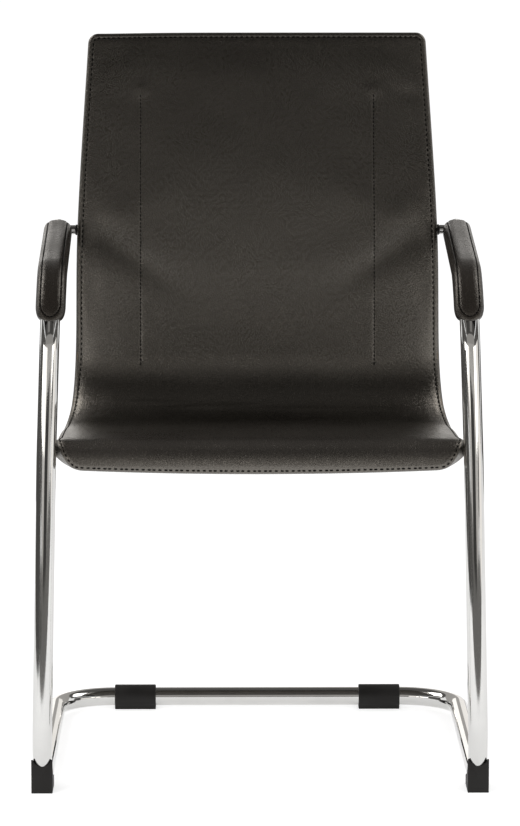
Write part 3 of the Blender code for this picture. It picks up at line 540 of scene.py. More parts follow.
def leather_top(length, across, sizes):
    """Offset of the shell's upholstered face from the core line."""
    side = 1 - np.minimum(1, np.abs(across) / full_half_width(length))
    end = np.minimum(length, SHELL_LENGTH - length) / SHELL_LENGTH
    swell = np.minimum(1, side / SWELL_SIDE_SHARE) * np.minimum(1, end / SWELL_END_SHARE)
    swell = np.sin(np.maximum(0, swell) * math.pi / 2)
    inset = sizes.seam_inset
    distance = edge_distance(*seam_space(length, across))
    seam = bump(distance, inset, SEAM_WIDTH) * sizes.seam_depth
    band = WELT_HEIGHT * bump(distance, inset / 2, WELT_WIDTH)
    puff = WELT_HEIGHT * bump(distance, inset + PUFF_SETBACK, PUFF_WIDTH)
    calm = np.clip((distance - inset) / FLAT_BAND, 0, 1)
    soft = (folds(length, across, sizes) + unevenness(length, across)) * calm
    top = SHELL_EDGE_TOP + SHELL_SWELL * swell - seam + band + puff + soft
    nose = NOSE_FULLNESS * np.sin(math.pi * np.clip(length / NOSE_REACH, 0, 1)) ** 2
    return top + nose - quilt_line(length, across, sizes) - side_roll(length, across)


# Ways of making and finishing meshes


OUTWARDS = (bpy.ops.mesh.normals_make_consistent, {"inside": False})


def select_only(*pieces):
    """Selects these pieces and nothing else, and makes the last one active."""
    bpy.ops.object.select_all(action="DESELECT")
    for piece in pieces:
        piece.select_set(True)
        bpy.context.view_layer.objects.active = piece


def in_edit_mode(piece, *steps):
    """Runs edit mode operators on one piece, with all of it selected first."""
    select_only(piece)
    bpy.ops.object.mode_set(mode="EDIT")
    bpy.ops.mesh.select_all(action="SELECT")
    for step, values in steps:
        step(**values)
    bpy.ops.object.mode_set(mode="OBJECT")


def apply_modifiers(piece):
    select_only(piece)
    for modifier in list(piece.modifiers):
        bpy.ops.object.modifier_apply(modifier=modifier.name)


def coordinates(piece):
    found = np.empty(len(piece.data.vertices) * 3)
    piece.data.vertices.foreach_get("co", found)
    return found.reshape(-1, 3)


def move_points(piece, points):
    piece.data.vertices.foreach_set("co", np.asarray(points, dtype=np.float32).ravel())
    piece.data.update()


def finished(piece, name, finish, replaces, smooth=40):
    """Puts a piece's place into its mesh, names it, gives it its finish and hides the solids it
    stands for.
    """
    apply_modifiers(piece)
    bpy.ops.object.transform_apply()
    bpy.ops.object.shade_smooth_by_angle(angle=math.radians(smooth))
    piece.name = name
    piece.data.name = name
    piece.data.materials.clear()
    piece.data.materials.append(finish)
    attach(piece, "root")
    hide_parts(*replaces)
    return piece


def grid_ranks(points, axis, steps):
    """Row or column numbers of the points of a new grid that is two across."""
    return np.rint((points[:, axis] + 1) / 2 * steps).astype(int)


def slab(columns, rows, rings):
    """A closed slab of a grid, its face-down copy and rings round the edge."""
    bpy.ops.mesh.primitive_grid_add(x_subdivisions=columns - 1, y_subdivisions=rows - 1, size=2)
    piece = bpy.context.object
    down = {"TRANSFORM_OT_translate": {"value": (0, 0, -1)}}
    in_edit_mode(piece, *[(bpy.ops.mesh.extrude_region_move, down)] * rings)
    points = coordinates(piece)
    column, row = grid_ranks(points, 0, columns - 1), grid_ranks(points, 1, rows - 1)
    return piece, column, row, np.rint(-points[:, 2]).astype(int)


def tube_along(points, radius, resolution=20):
    """A round bar along a line of points, with filled ends."""
    bpy.ops.curve.primitive_nurbs_path_add()
    curve = bpy.context.object.data
    curve.splines.clear()
    spline = curve.splines.new("POLY")
    spline.points.add(len(points) - 1)
    for target, point in zip(spline.points, points):
        target.co = (*point, 1)
    curve.dimensions = "3D"
    curve.bevel_depth = radius
    curve.bevel_resolution = resolution
    curve.use_fill_caps = True
    bpy.ops.object.convert(target="MESH")
    piece = bpy.context.object
    in_edit_mode(piece, (bpy.ops.mesh.remove_doubles, {"threshold": 1e-6}), OUTWARDS)
    return piece


def add_bevel(piece, width, segments=3, angle=35):
    bevel = piece.modifiers.new("edges", "BEVEL")
    bevel.width = width
    bevel.segments = segments
    bevel.limit_method = "ANGLE"
    bevel.angle_limit = math.radians(angle)


def take_out(piece, cutter):
    """Cuts one mesh out of another and deletes the cutter."""
    boolean = piece.modifiers.new("cut", "BOOLEAN")
    boolean.operation = "DIFFERENCE"
    boolean.solver = "EXACT"
    boolean.object = cutter
    apply_modifiers(piece)
    bpy.data.objects.remove(cutter, do_unlink=True)


def round_bar(start, end, radius, vertices=48):
    """A cylinder between two points that differ only across the chair."""
    bpy.ops.mesh.primitive_cylinder_add(
        vertices=vertices, radius=radius, depth=(end - start).length,
        location=(start + end) / 2, rotation=(0, math.radians(90), 0),
    )
    return bpy.context.object


def solid_box(name):
    """The low corner, high corner and middle of a solid."""
    low, high = (Vector(corner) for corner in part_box(name))
    return low, high, (low + high) / 2


def block(middle, size):
    bpy.ops.mesh.primitive_cube_add(size=1, location=middle)
    bpy.context.object.scale = size
    bpy.ops.object.transform_apply()
    return bpy.context.object


def stitches(name, places, aheads, normals, sizes, finish):
    """One thread mesh, from one stitch that is copied to each place."""
    bpy.ops.mesh.primitive_uv_sphere_add(segments=8, ring_count=6, radius=0.5)
    piece = bpy.context.object
    faces = [tuple(face.vertices) for face in piece.data.polygons]
    one = coordinates(piece) * (sizes.thread_width, sizes.thread_width, sizes.stitch_length)
    axes = np.stack([np.cross(aheads, normals), normals, aheads], axis=1)
    points = places[:, None, :] + sum(one[:, i, None] * axes[:, None, i] for i in range(3))
    starts = range(0, len(places) * len(one), len(one))
    all_faces = [tuple(v + start for v in face) for start in starts for face in faces]
    mesh = bpy.data.meshes.new(name)
    mesh.from_pydata(points.reshape(-1, 3).tolist(), [], all_faces)
    old, piece.data = piece.data, mesh
    bpy.data.meshes.remove(old)
    in_edit_mode(piece, OUTWARDS)
    return finished(piece, name, finish, ())


def evenly_along(points, pitch):
    """Indices of points that lie one pitch apart along a line."""
    lengths = way_along(points)
    count = max(int(lengths[-1] / pitch), 1)
    wanted = (np.arange(count) + 0.5) * lengths[-1] / count
    return np.clip(np.searchsorted(lengths, wanted), 1, len(points) - 2)


def stitch_places(points, outwards, pitch):
    """Places, directions and outward normals of stitches along a line of surface points."""
    chosen = evenly_along(points, pitch)
    aheads = unit(points[chosen + 1] - points[chosen - 1])
    normals = outwards[chosen]
    normals = unit(normals - aheads * (normals * aheads).sum(axis=1, keepdims=True))
    return points[chosen], aheads, normals


# Finishes


def fill_in(tree, node, inputs):
    """Sets a node's inputs, and links those that are given as outputs of other nodes."""
    for key, value in inputs.items():
        if isinstance(value, bpy.types.NodeSocket):
            tree.links.new(value, node.inputs[key])
        else:
            node.inputs[key].default_value = value


def add_node(tree, kind, inputs, **values):
    made = tree.nodes.new(kind)
    for key, value in values.items():
        setattr(made, key, value)
    fill_in(tree, made, inputs)
    return made


def worked_out(tree, operation, first, second):
    """The sum, product or other result of two values."""
    made = add_node(tree, "ShaderNodeMath", {0: first, 1: second}, operation=operation)
    return made.outputs[0]


def noise(tree, vector, scale, detail, **more):
    inputs = {"Vector": vector, "Scale": scale, "Detail": detail, **more}
    return add_node(tree, "ShaderNodeTexNoise", inputs).outputs


def mask(tree, value, low, high, blend="LINEAR"):
    """Zero at the low value and one at the high value."""
    inputs = {"Value": value, "From Min": low, "From Max": high}
    return add_node(tree, "ShaderNodeMapRange", inputs, interpolation_type=blend).outputs["Result"]


def in_range(tree, value, low, high):
    made = add_node(tree, "ShaderNodeMapRange", {"Value": value, "To Min": low, "To Max": high})
    return made.outputs["Result"]


def stretched(tree, vector, scale):
    return add_node(tree, "ShaderNodeMapping", {"Vector": vector, "Scale": scale}).outputs[0]


def relief(tree, height, strength, distance, **more):
    inputs = {"Height": height, "Strength": strength, "Distance": distance, **more}
    return add_node(tree, "ShaderNodeBump", inputs).outputs["Normal"]


def blend_colours(tree, factor, first, second):
    """Blends from a colour or an output to a colour."""
    if not isinstance(first, bpy.types.NodeSocket):
        first = (*first, 1)
    inputs = {0: factor, 6: first, 7: (*second, 1)}
    return add_node(tree, "ShaderNodeMix", inputs, data_type="RGBA").outputs[2]


def use_group(tree, group, vector, **values):
    inputs = {"Vector": vector, **values}
    return add_node(tree, "ShaderNodeGroup", inputs, node_tree=group()).outputs


def new_group(name, inputs, outputs):
    """An empty node group with a vector input, float inputs and float outputs."""
    tree = bpy.data.node_groups.new(name, "ShaderNodeTree")
    tree.interface.new_socket("Vector", in_out="INPUT", socket_type="NodeSocketVector")
    for key, value in inputs.items():
        socket = tree.interface.new_socket(key, in_out="INPUT", socket_type="NodeSocketFloat")
        socket.default_value = value
    for key in outputs:
        tree.interface.new_socket(key, in_out="OUTPUT", socket_type="NodeSocketFloat")
    start, end = tree.nodes.new("NodeGroupInput"), tree.nodes.new("NodeGroupOutput")
    return tree, start.outputs, end


def grain_group():
    """Pebbles and creases of leather or a moulded texture, as a height and a cell value."""
    made = bpy.data.node_groups.get("pebbled_grain")
    if made:
        return made
    tree, start, end = new_group(
        "pebbled_grain", {"Scale": 800.0, "Crease": 0.5}, ("Height", "Cells"),
    )
    vector = start["Vector"]
    warp = noise(tree, vector, 180.0, 2.0)["Color"]
    bend = add_node(tree, "ShaderNodeVectorMath", {0: warp, "Scale": 0.0012}, operation="SCALE")
    moved = add_node(
        tree, "ShaderNodeVectorMath", {0: vector, 1: bend.outputs[0]}, operation="ADD",
    )
    cells = add_node(
        tree, "ShaderNodeTexVoronoi",
        {"Vector": moved.outputs[0], "Scale": start["Scale"]}, feature="DISTANCE_TO_EDGE",
    )
    pebble = mask(tree, cells.outputs["Distance"], 0.0, 0.28, "SMOOTHSTEP")
    fine = noise(tree, vector, 2600.0, 3.0)["Fac"]
    crease = worked_out(tree, "MULTIPLY", fine, start["Crease"])
    fill_in(tree, end, {"Height": worked_out(tree, "ADD", pebble, crease), "Cells": pebble})
    return tree


def handling_group():
    """Soft patches of handling and dust, from 0 to 1, at a broad and a fine scale."""
    made = bpy.data.node_groups.get("handling_marks")
    if made:
        return made
    tree, start, end = new_group(
        "handling_marks", {"Scale": 9.0, "Contrast": 0.5}, ("Broad", "Fine"),
    )
    broad = noise(tree, start["Vector"], start["Scale"], 4.0, Roughness=0.55)["Fac"]
    low = worked_out(tree, "SUBTRACT", 0.5, start["Contrast"])
    high = worked_out(tree, "ADD", 0.5, start["Contrast"])
    fine = noise(tree, start["Vector"], 420.0, 5.0)["Fac"]
    fill_in(tree, end, {"Broad": mask(tree, broad, low, high, "SMOOTHSTEP"), "Fine": fine})
    return tree


def stretch_and_light_group():
    """Leather drawn over the seat's front edge: fine marks as a height, and how much painted light
    lightens the front of the seat.
    """
    made = bpy.data.node_groups.get("stretch_marks")
    if made:
        return made
    tree, start, end = new_group(
        "stretch_marks",
        {"Front": -0.25, "Reach": 0.03, "Rubbed": 0.1, "Fade": 0.13}, ("Height", "Rub"),
    )
    front = start["Front"]
    depth = add_node(tree, "ShaderNodeSeparateXYZ", {"Vector": start["Vector"]}).outputs["Y"]
    near_edge = mask(tree, depth, worked_out(tree, "ADD", front, start["Reach"]), front)
    lines = noise(tree, stretched(tree, start["Vector"], (420, 30, 30)), 1.0, 3.0)["Fac"]
    # Painted light: full over the front of the seat, fading out behind it
    begin = worked_out(tree, "ADD", front, start["Rubbed"])
    light_share = mask(tree, depth, worked_out(tree, "ADD", begin, start["Fade"]), begin)
    fill_in(tree, end, {"Height": worked_out(tree, "MULTIPLY", lines, near_edge), "Rub": light_share})
    return tree


def start_material(name):
    made = bpy.data.materials.new(name)
    made.use_nodes = True
    tree = made.node_tree
    return made, tree, tree.nodes["Principled BSDF"], tree.nodes["Material Output"]


LEATHERS = {
    # use: material, refractive index, shine
    "seat": ("black_grained_leather", 1.75, 1.0),
    "pad": ("arm_pad_leather", 1.5, 0.8),
    "rear": ("rear_cover_leather", 1.6, 0.5),
}
PAD_WEAR = 1.3
PEBBLE_SHINE = -0.08
PEBBLE_HEIGHT = 0.00025
DRAWN_HEIGHT = 0.0009
SHINE_TINT = (1, 0.93, 0.83, 1)
# Front and reach place the stretch marks; the third setting is how far back the painted light over
# the seat's front reaches
STRETCH_AND_LIGHT = {"Front": FRONT + 0.013, "Reach": 0.016, "Rubbed": 0.165}


def leather_material(sizes, colours, use="seat"):
    """Seat and back take a glossier hide than the arm pads and the rear cover."""
    name, bending, shine = LEATHERS[use]
    made = bpy.data.materials.get(name)
    if made:
        return made
    made, tree, shader, _ = start_material(name)
    place = tree.nodes.new("ShaderNodeTexCoord").outputs["Object"]
    first, second = colours.leather, colours.leather_worn
    if use == "pad":
        first, second = colours.pad_leather, tuple(c * PAD_WEAR for c in colours.pad_leather)
    grain = use_group(tree, grain_group, place, Scale=1 / sizes.grain_size, Crease=0.35)
    marks = use_group(tree, handling_group, place, Scale=7.0, Contrast=0.22)
    drawn_and_lit = use_group(tree, stretch_and_light_group, place, **STRETCH_AND_LIGHT)
    colour = blend_colours(tree, marks["Broad"], first, second)
    # The front of the seat takes a lighter colour as painted light, standing in for the light it
    # catches
    if use == "seat":
        colour = blend_colours(tree, drawn_and_lit["Rub"], colour, colours.leather_painted_light)
    dull = worked_out(tree, "MULTIPLY", grain["Cells"], PEBBLE_SHINE)
    rough = worked_out(tree, "ADD", in_range(tree, marks["Broad"], 0.28, 0.35), dull)
    drawn = relief(tree, drawn_and_lit["Height"], 1.0, DRAWN_HEIGHT)
    fill_in(tree, shader, {
        "Base Color": colour,
        "Roughness": rough,
        "Normal": relief(tree, grain["Height"], 0.5, PEBBLE_HEIGHT, Normal=drawn),
        "Specular IOR Level": shine,
        "IOR": bending,
        "Specular Tint": SHINE_TINT,
    })
    return made


PLAIN_FINISHES = {
    # colour: material, second tone, size and contrast of its patches,
    # the marks that roughen it, lowest and highest roughness, shine, metal
    "thread": ("waxed_thread", 2.2, 60, 0.3, "Fine", 0.75, 0.95, 0.08, 0),
    "bright": ("bright_plating", 0.93, 16, 0.25, "Broad", 0.035, 0.075, 0.5, 1),
    "steel": ("zinc_plated_steel", 0.75, 40, 0.3, "Fine", 0.25, 0.45, 0.5, 1),
    "plastic": ("black_moulded_plastic", 1.4, 30, 0.25, "Broad", 0.45, 0.6, 0.3, 0),
    "board": ("bent_plywood", 0.6, 2, 0.3, "Fine", 0.6, 0.8, 0.5, 0),
}


def plain_material(colours, use):
    """Thread, bright plating, steel, moulded plastic or plywood, with patches of handling."""
    name, tone, scale, contrast, marked, smoothest, roughest, shine, metal = PLAIN_FINISHES[use]
    made = bpy.data.materials.get(name)
    if made:
        return made
    made, tree, shader, _ = start_material(name)
    place = tree.nodes.new("ShaderNodeTexCoord").outputs["Object"]
    if use == "board":
        place = stretched(tree, place, (60, 4, 4))
    first = getattr(colours, use)
    second = tuple(min(1, c * tone) for c in first)
    marks = use_group(tree, handling_group, place, Scale=scale, Contrast=contrast)
    fill_in(tree, shader, {
        "Base Color": blend_colours(tree, marks["Broad"], first, second),
        "Roughness": in_range(tree, marks[marked], smoothest, roughest),
        "Specular IOR Level": shine,
        "Metallic": metal,
    })
    if use == "bright":
        fill_in(tree, shader, {"Normal": relief(tree, marks["Fine"], 0.03, 0.00005)})
    if use == "plastic":
        grain = use_group(tree, grain_group, place, Scale=2200.0, Crease=0.6)
        fill_in(tree, shader, {"Normal": relief(tree, grain["Height"], 0.25, 0.0001)})
    return made


# The shell


def outline_rows():
    """Row lengths of the shell's grid, close together at its rounded ends."""
    front = FRONT_CORNER * (1 - np.cos(np.radians(np.arange(0, 91, 5))))
    top = SHELL_LENGTH - TOP_CORNER * (1 - np.cos(np.radians(np.arange(90, -1, -7.5))))
    count = int((top[0] - front[-1]) / 0.0036)
    middle = np.linspace(front[-1], top[0], count)[1:-1]
    return np.concatenate([front, middle, top])


def outline_columns():
    """Columns as a fixed part and a share of the half width, close at stitches and sides."""
    near, far, rim = STITCH_LINE - 0.007, STITCH_LINE + 0.007, 0.011
    fixed = [(x, 0.0) for x in np.linspace(0, near, 29)]
    fixed += [(x, 0.0) for x in np.linspace(near, far, 15)[1:]]
    fixed += [(far * (1 - f) - rim * f, f) for f in np.linspace(0, 1, 14)[1:]]
    fixed += [(-e, 1.0) for e in np.linspace(rim, 0, 12)[1:]]
    fixed = np.array(fixed)
    table = np.concatenate([-fixed[:0:-1], fixed])
    return table[:, 0], table[:, 1]


def shell_sheet(rings, sizes):
    """A slab laid on the shell. Each ring has an inset, a drop below the upholstered face,
    a weight that blends from that face to a level, and the level."""
    rows = outline_rows()
    fixed, share = outline_columns()
    piece, column, row, ring = slab(len(fixed), len(rows), len(rings) - 1)
    inset, drop, weight, level = np.array(rings).T[:, ring]
    length, half = drawn_in(rows[row], inset)
    across = np.clip(fixed[column] + share[column] * half, -half, half)
    top = leather_top(length, across, sizes) - drop
    move_points(piece, on_shell(length, across, top * (1 - weight) + level * weight))
    in_edit_mode(piece, OUTWARDS)
    return piece


def seam_line(inset, samples=2400, end_samples=300):
    """Lengths and distances across of a line that follows the shell's outline."""
    base = np.linspace(0, SHELL_LENGTH, samples)
    front = FRONT_CORNER * (1 - np.cos(np.linspace(0, math.pi / 2, 60)))
    top = SHELL_LENGTH - TOP_CORNER * (1 - np.cos(np.linspace(math.pi / 2, 0, 40)))
    base = np.sort(np.concatenate([front, base[(base > front[-1]) & (base < top[0])], top]))
    length, half = drawn_in(base, inset)
    rear = np.linspace(half[-1], -half[-1], end_samples + 2)[1:-1]
    lip = np.linspace(-half[0], half[0], end_samples + 2)[1:-1]
    table = np.linspace(-0.005, SHELL_LENGTH, 4000)
    ends = [np.full(end_samples, length[i]) for i in (-1, 0)]
    lengths = np.concatenate([length, ends[0], length[::-1], ends[1]])
    lengths = np.interp(lengths, seam_space(table, 1.0)[0], table)
    acrosses = np.concatenate([half, rear, -half[::-1], lip])
    return lengths, acrosses / seam_space(lengths, 1.0)[1]


def shell_stitches(lengths, acrosses, offsets, pitch):
    """Places, directions and outward normals of stitches along a line on the shell."""
    points = on_shell(lengths, acrosses, offsets)
    raised = on_shell(lengths, acrosses, offsets + 0.001)
    return stitch_places(points, raised - points, pitch)


class CHAIR_OT_shell(bpy.types.Operator):
    """Models the upholstered seat and back, with its edge seam, stitched lines and folds"""

    bl_idname = "chair.shell"
    bl_label = "Seat and back"

    def execute(self, context):
        sizes, colours = context.scene.chair_sizes, context.scene.chair_colours
        rings = [
            (EDGE_ROUND * (1 - math.sin(a)), EDGE_ROUND * (1 - math.cos(a)), 0, 0)
            for a in EDGE_TURNS
        ]
        side_end = SHELL_BOTTOM + UNDER_ROUND
        rings += [
            (-EDGE_BULGE * math.sin(s * math.pi), EDGE_ROUND, s, side_end)
            for s in (0.25, 0.5, 0.75)
        ]
        for a in EDGE_TURNS:
            inset = UNDER_ROUND * (1 - math.cos(a))
            rings.append((inset, 0, 1, SHELL_BOTTOM + UNDER_ROUND * (1 - math.sin(a))))
        rings.append((UNDER_RIM, 0, 1, SHELL_BOTTOM))
        rings.append((UNDER_RIM + UNDER_STEP, 0, 1, SHELL_BOTTOM + UNDER_STEP_HEIGHT))
        cushion = finished(
            shell_sheet(rings, sizes), "seat_and_back_leather", leather_material(sizes, colours),
            ("front_cover", "foam_pad"), 60,
        )
        self.sew(sizes, plain_material(colours, "thread"))
        return {"FINISHED"}

    def sew(self, sizes, thread):
        """Stitches along the edge seam and the two lines in the back."""
        pitch = sizes.stitch_pitch
        ways = [(*seam_line(sizes.seam_inset), pitch)]
        lengths = np.linspace(STITCH_START, STITCH_END, 900)
        ways += [(lengths, np.full_like(lengths, s * STITCH_LINE), pitch * 0.75) for s in (-1, 1)]
        lines = []
        for lengths, acrosses, apart in ways:
            offsets = leather_top(lengths, acrosses, sizes) + sizes.thread_width * 0.30
            lines.append(shell_stitches(lengths, acrosses, offsets, apart))
        places, aheads, normals = (np.concatenate(parts) for parts in zip(*lines))
        stitches("shell_stitches", places, aheads, normals, sizes, thread)


class CHAIR_OT_rear_cover(bpy.types.Operator):
    """Models the leather that closes the underside and the back, with its sewn edge"""

    bl_idname = "chair.rear_cover"
    bl_label = "Rear cover"

    def execute(self, context):
        sizes, colours = context.scene.chair_sizes, context.scene.chair_colours
        lowest = SHELL_BOTTOM - REAR_THICKNESS
        rings = [(REAR_RIM, 0, 1, SHELL_BOTTOM + rise) for rise in (0.0014, 0.0006)]
        for turn in (math.radians(a) for a in (30, 60, 90)):
            inset = REAR_RIM + REAR_ROUND * (1 - math.cos(turn))
            rings.append((inset, 0, 1, lowest + REAR_ROUND_HEIGHT * (1 - math.sin(turn))))
        leather = leather_material(sizes, colours, "rear")
        piece = shell_sheet(rings, sizes)
        finished(piece, "rear_leather", leather, ("rear_cover",), 60)
        lengths, acrosses = seam_line(REAR_RIM + REAR_SEAM_INSET)
        offsets = np.full_like(lengths, lowest - sizes.thread_width * 0.1)
        places, aheads, normals = shell_stitches(lengths, acrosses, offsets, sizes.stitch_pitch)
        thread = plain_material(colours, "thread")
        stitches("rear_stitches", places, aheads, -normals, sizes, thread)
        return {"FINISHED"}


# The frame


def side_line(sign, step=2.5):
    """Centre line of a side tube in the chair's own frame."""
    upright = FRONT_BEND_DEPTH - FRONT_BEND_RADIUS / math.cos(UPRIGHT_LEAN)
    upright -= FRONT_BEND_RADIUS * math.tan(UPRIGHT_LEAN)
    knee = upright + (KNEE_HEIGHT - TUBE_HEIGHT) * math.tan(UPRIGHT_LEAN)
    bend = upright + (ARM_BEND_HEIGHT - TUBE_HEIGHT) * math.tan(UPRIGHT_LEAN)
    tail = float(np.interp(CONNECTOR_LENGTH, CORE_LENGTHS, CORE_PLACES[:, 0]))
    bend_height = CONNECTOR_HEIGHT - (tail - bend) * math.tan(ARM_SLOPE)
    tail_height = CONNECTOR_HEIGHT + ARM_TAIL * math.tan(ARM_SLOPE)
    corners = [
        (GLIDE_CENTRE, REAR_BAR_DEPTH, TUBE_HEIGHT),
        (FLOOR_HALF_WIDTH, REAR_BAR_DEPTH, TUBE_HEIGHT),
        (FLOOR_HALF_WIDTH, upright, TUBE_HEIGHT),
        (KNEE_HALF_WIDTH, knee, KNEE_HEIGHT),
        (ARM_FRONT_HALF_WIDTH, bend, bend_height),
        (ARM_REAR_HALF_WIDTH, tail + ARM_TAIL, tail_height),
    ]
    corners = [Vector((sign * x, y + FRONT, z)) for x, y, z in corners]
    radii = (REAR_CORNER_RADIUS, FRONT_BEND_RADIUS, KNEE_RADIUS, ARM_BEND_RADIUS)
    return rounded_path(corners, radii, math.radians(step))


class CHAIR_OT_tubes(bpy.types.Operator):
    """Models the bent side tubes, the rear cross tube and the plugs in the arm ends"""

    bl_idname = "chair.tubes"
    bl_label = "Tube frame"

    def execute(self, context):
        colours = context.scene.chair_colours
        bright, plastic = (plain_material(colours, use) for use in ("bright", "plastic"))
        for side, sign in SIDES:
            line = side_line(sign)
            piece = tube_along(line, TUBE_RADIUS)
            finished(piece, "side_tube_smooth_" + side, bright, ("side_tube_" + side,))
            self.plug(side, line[-1], (line[-1] - line[-2]).normalized(), plastic)
        reach = GLIDE_CENTRE - JOINT_GAP
        ends = [Vector((s * reach, REAR_BAR_DEPTH + FRONT, TUBE_HEIGHT)) for s in (-1, 1)]
        piece = tube_along(ends, TUBE_RADIUS)
        finished(piece, "cross_tube_smooth", bright, ("rear_cross_tube",))
        return {"FINISHED"}

    def plug(self, side, end, ahead, plastic):
        """A low dome that closes the arm's end, with a shadow line round it."""
        bpy.ops.mesh.primitive_cylinder_add(
            vertices=48, radius=TUBE_RADIUS, depth=PLUG_LENGTH,
            location=end + ahead * PLUG_SETBACK,
            rotation=Vector((0, 0, 1)).rotation_difference(ahead).to_euler(),
        )
        piece = bpy.context.object
        add_bevel(piece, PLUG_EDGE, 4)
        finished(piece, "arm_plug_" + side, plastic, ("arm_end_plug_" + side,))


class CHAIR_OT_feet(bpy.types.Operator):
    """Models the saddle feet under the front bends"""

    bl_idname = "chair.feet"
    bl_label = "Front feet"

    def execute(self, context):
        plastic = plain_material(context.scene.chair_colours, "plastic")
        for side, sign in SIDES:
            middle = (sign * FLOOR_HALF_WIDTH, FRONT + FOOT_LENGTH / 2, FOOT_HEIGHT / 2)
            piece = block(middle, (FOOT_WIDTH, FOOT_LENGTH, FOOT_HEIGHT))
            in_edit_mode(piece, (bpy.ops.mesh.subdivide, {"number_cuts": 24}))
            points = coordinates(piece)
            depth = np.clip((points[:, 1] - FRONT) / FOOT_LENGTH, 0, 1) ** 1.25 * FOOT_LENGTH
            points[:, 1] = FRONT + depth
            points[:, 2] *= np.interp(depth, FOOT_DEPTHS, FOOT_TOPS) / FOOT_HEIGHT
            move_points(piece, points)
            flat = {"angle_limit": math.radians(0.5)}
            in_edit_mode(piece, (bpy.ops.mesh.dissolve_limited, flat))
            add_bevel(piece, FINE_EDGE, 2)
            apply_modifiers(piece)
            groove_radius = TUBE_RADIUS + FOOT_GROOVE_CLEARANCE
            take_out(piece, tube_along(side_line(sign), groove_radius, 24))
            bpy.ops.mesh.primitive_cylinder_add(
                vertices=64, radius=TUBE_RADIUS, depth=FOOT_SCOOP_LENGTH,
                location=(sign * FLOOR_HALF_WIDTH, FRONT, FOOT_SCOOP + TUBE_RADIUS),
                rotation=(math.radians(90), 0, 0),
            )
            take_out(piece, bpy.context.object)
            finished(piece, "foot_" + side, plastic, ("front_foot_" + side,), 30)
        return {"FINISHED"}


class CHAIR_OT_glides(bpy.types.Operator):
    """Models the sleeves round the rear bar, with a flat sole and bevelled edges"""

    bl_idname = "chair.glides"
    bl_label = "Rear glides"

    def execute(self, context):
        plastic = plain_material(context.scene.chair_colours, "plastic")
        half = Vector((GLIDE_LENGTH / 2, 0, 0))
        for side, sign in SIDES:
            centre = Vector((sign * GLIDE_CENTRE, REAR_BAR_DEPTH + FRONT, TUBE_HEIGHT))
            piece = round_bar(centre - half, centre + half, GLIDE_RADIUS, 72)
            bpy.ops.object.transform_apply()
            points = coordinates(piece)
            under = np.abs(points[:, 1] - centre.y) < GLIDE_SOLE
            under &= points[:, 2] < TUBE_HEIGHT - GLIDE_RADIUS * 0.66
            points[under, 2] = 0
            move_points(piece, points)
            wide = half * 1.2
            bore_radius = TUBE_RADIUS + GLIDE_BORE_CLEARANCE
            take_out(piece, round_bar(centre - wide, centre + wide, bore_radius, 64))
            add_bevel(piece, GLIDE_EDGE, 3, 50)
            finished(piece, "glide_" + side, plastic, ("rear_glide_" + side,), 30)
        return {"FINISHED"}


class CHAIR_OT_fixings(bpy.types.Operator):
    """Models the spacers, bolts and brackets between frame and shell"""

    bl_idname = "chair.fixings"
    bl_label = "Fixings"

    def execute(self, context):
        colours = context.scene.chair_colours
        bright, plastic, steel = (
            plain_material(colours, use) for use in ("bright", "plastic", "steel")
        )
        round_pieces = (
            # solid, name, finish, slot, width of its edges, how far each end moves inwards
            ("back_ferrule_", "ferrule_", bright, "chrome", 0.0006, 0, FERRULE_OVERRUN),
            ("back_washer_", "washer_", plastic, "black_plastic", 0.0008, FERRULE_OVERRUN, 0),
            ("seat_bush_", "bush_", plastic, "black_plastic", 0.0008, 0, 0),
        )
        for side, sign in SIDES:
            for node, name, finish, slot, edge, outer_move, inner_move in round_pieces:
                low, high, middle = solid_box(node + side)
                near, far = sorted((low.x, high.x), key=abs)
                start = Vector((far - sign * outer_move, middle.y, middle.z))
                end = Vector((near - sign * inner_move, middle.y, middle.z))
                piece = round_bar(start, end, (high.z - low.z) / 2, 40)
                add_bevel(piece, edge, 3)
                finished(piece, name + side, finish, (node + side,))
            for node in ("back_bolt_", "seat_bolt_"):
                self.bolt(node, side, sign, steel)
            self.bracket(side, bright)
        return {"FINISHED"}

    def bolt(self, node, side, sign, steel):
        """A button head with a hexagonal socket, on its shank."""
        low, high, middle = solid_box(node + side)
        inner, outer = sorted((low.x, high.x), key=lambda x: x * sign)

        def on_axis(x):
            return Vector((x, middle.y, middle.z))

        start = on_axis(outer - sign * BOLT_HEAD)
        piece = round_bar(start, on_axis(outer), (high.z - low.z) / 2, 40)
        add_bevel(piece, BOLT_EDGE, 4)
        apply_modifiers(piece)
        bpy.ops.object.transform_apply()
        socket = on_axis(outer - sign * SOCKET_DEPTH), on_axis(outer + sign * OVERRUN)
        take_out(piece, round_bar(*socket, SOCKET_RADIUS, 6))
        shank = round_bar(on_axis(inner), start, SHANK_RADIUS, 24)
        bpy.ops.object.transform_apply()
        select_only(shank, piece)
        bpy.ops.object.join()
        name = node.replace("_", "_head_", 1) + side
        finished(piece, name, steel, (node + side,), 30)

    def bracket(self, side, bright):
        """A flat tab whose free end is rounded."""
        low, high, middle = solid_box("seat_bracket_" + side)
        piece = block(middle, high - low)
        rear = {v.index for v in piece.data.vertices if v.co.y > middle.y}
        in_edit_mode(piece, (bpy.ops.mesh.select_all, {"action": "DESELECT"}))
        for edge in piece.data.edges:
            a, b = (piece.data.vertices[i].co for i in edge.vertices)
            edge.select = set(edge.vertices) <= rear and abs(a.x - b.x) > 0.001
        bpy.ops.object.mode_set(mode="EDIT")
        bpy.ops.mesh.select_mode(type="EDGE")
        bpy.ops.mesh.bevel(offset=(high.z - low.z) / 2 - BRACKET_FLAT, segments=10)
        bpy.ops.object.mode_set(mode="OBJECT")
        add_bevel(piece, FINE_EDGE, 2)
        finished(piece, "bracket_" + side, bright, ("seat_bracket_" + side,), 30)


# The arm pads


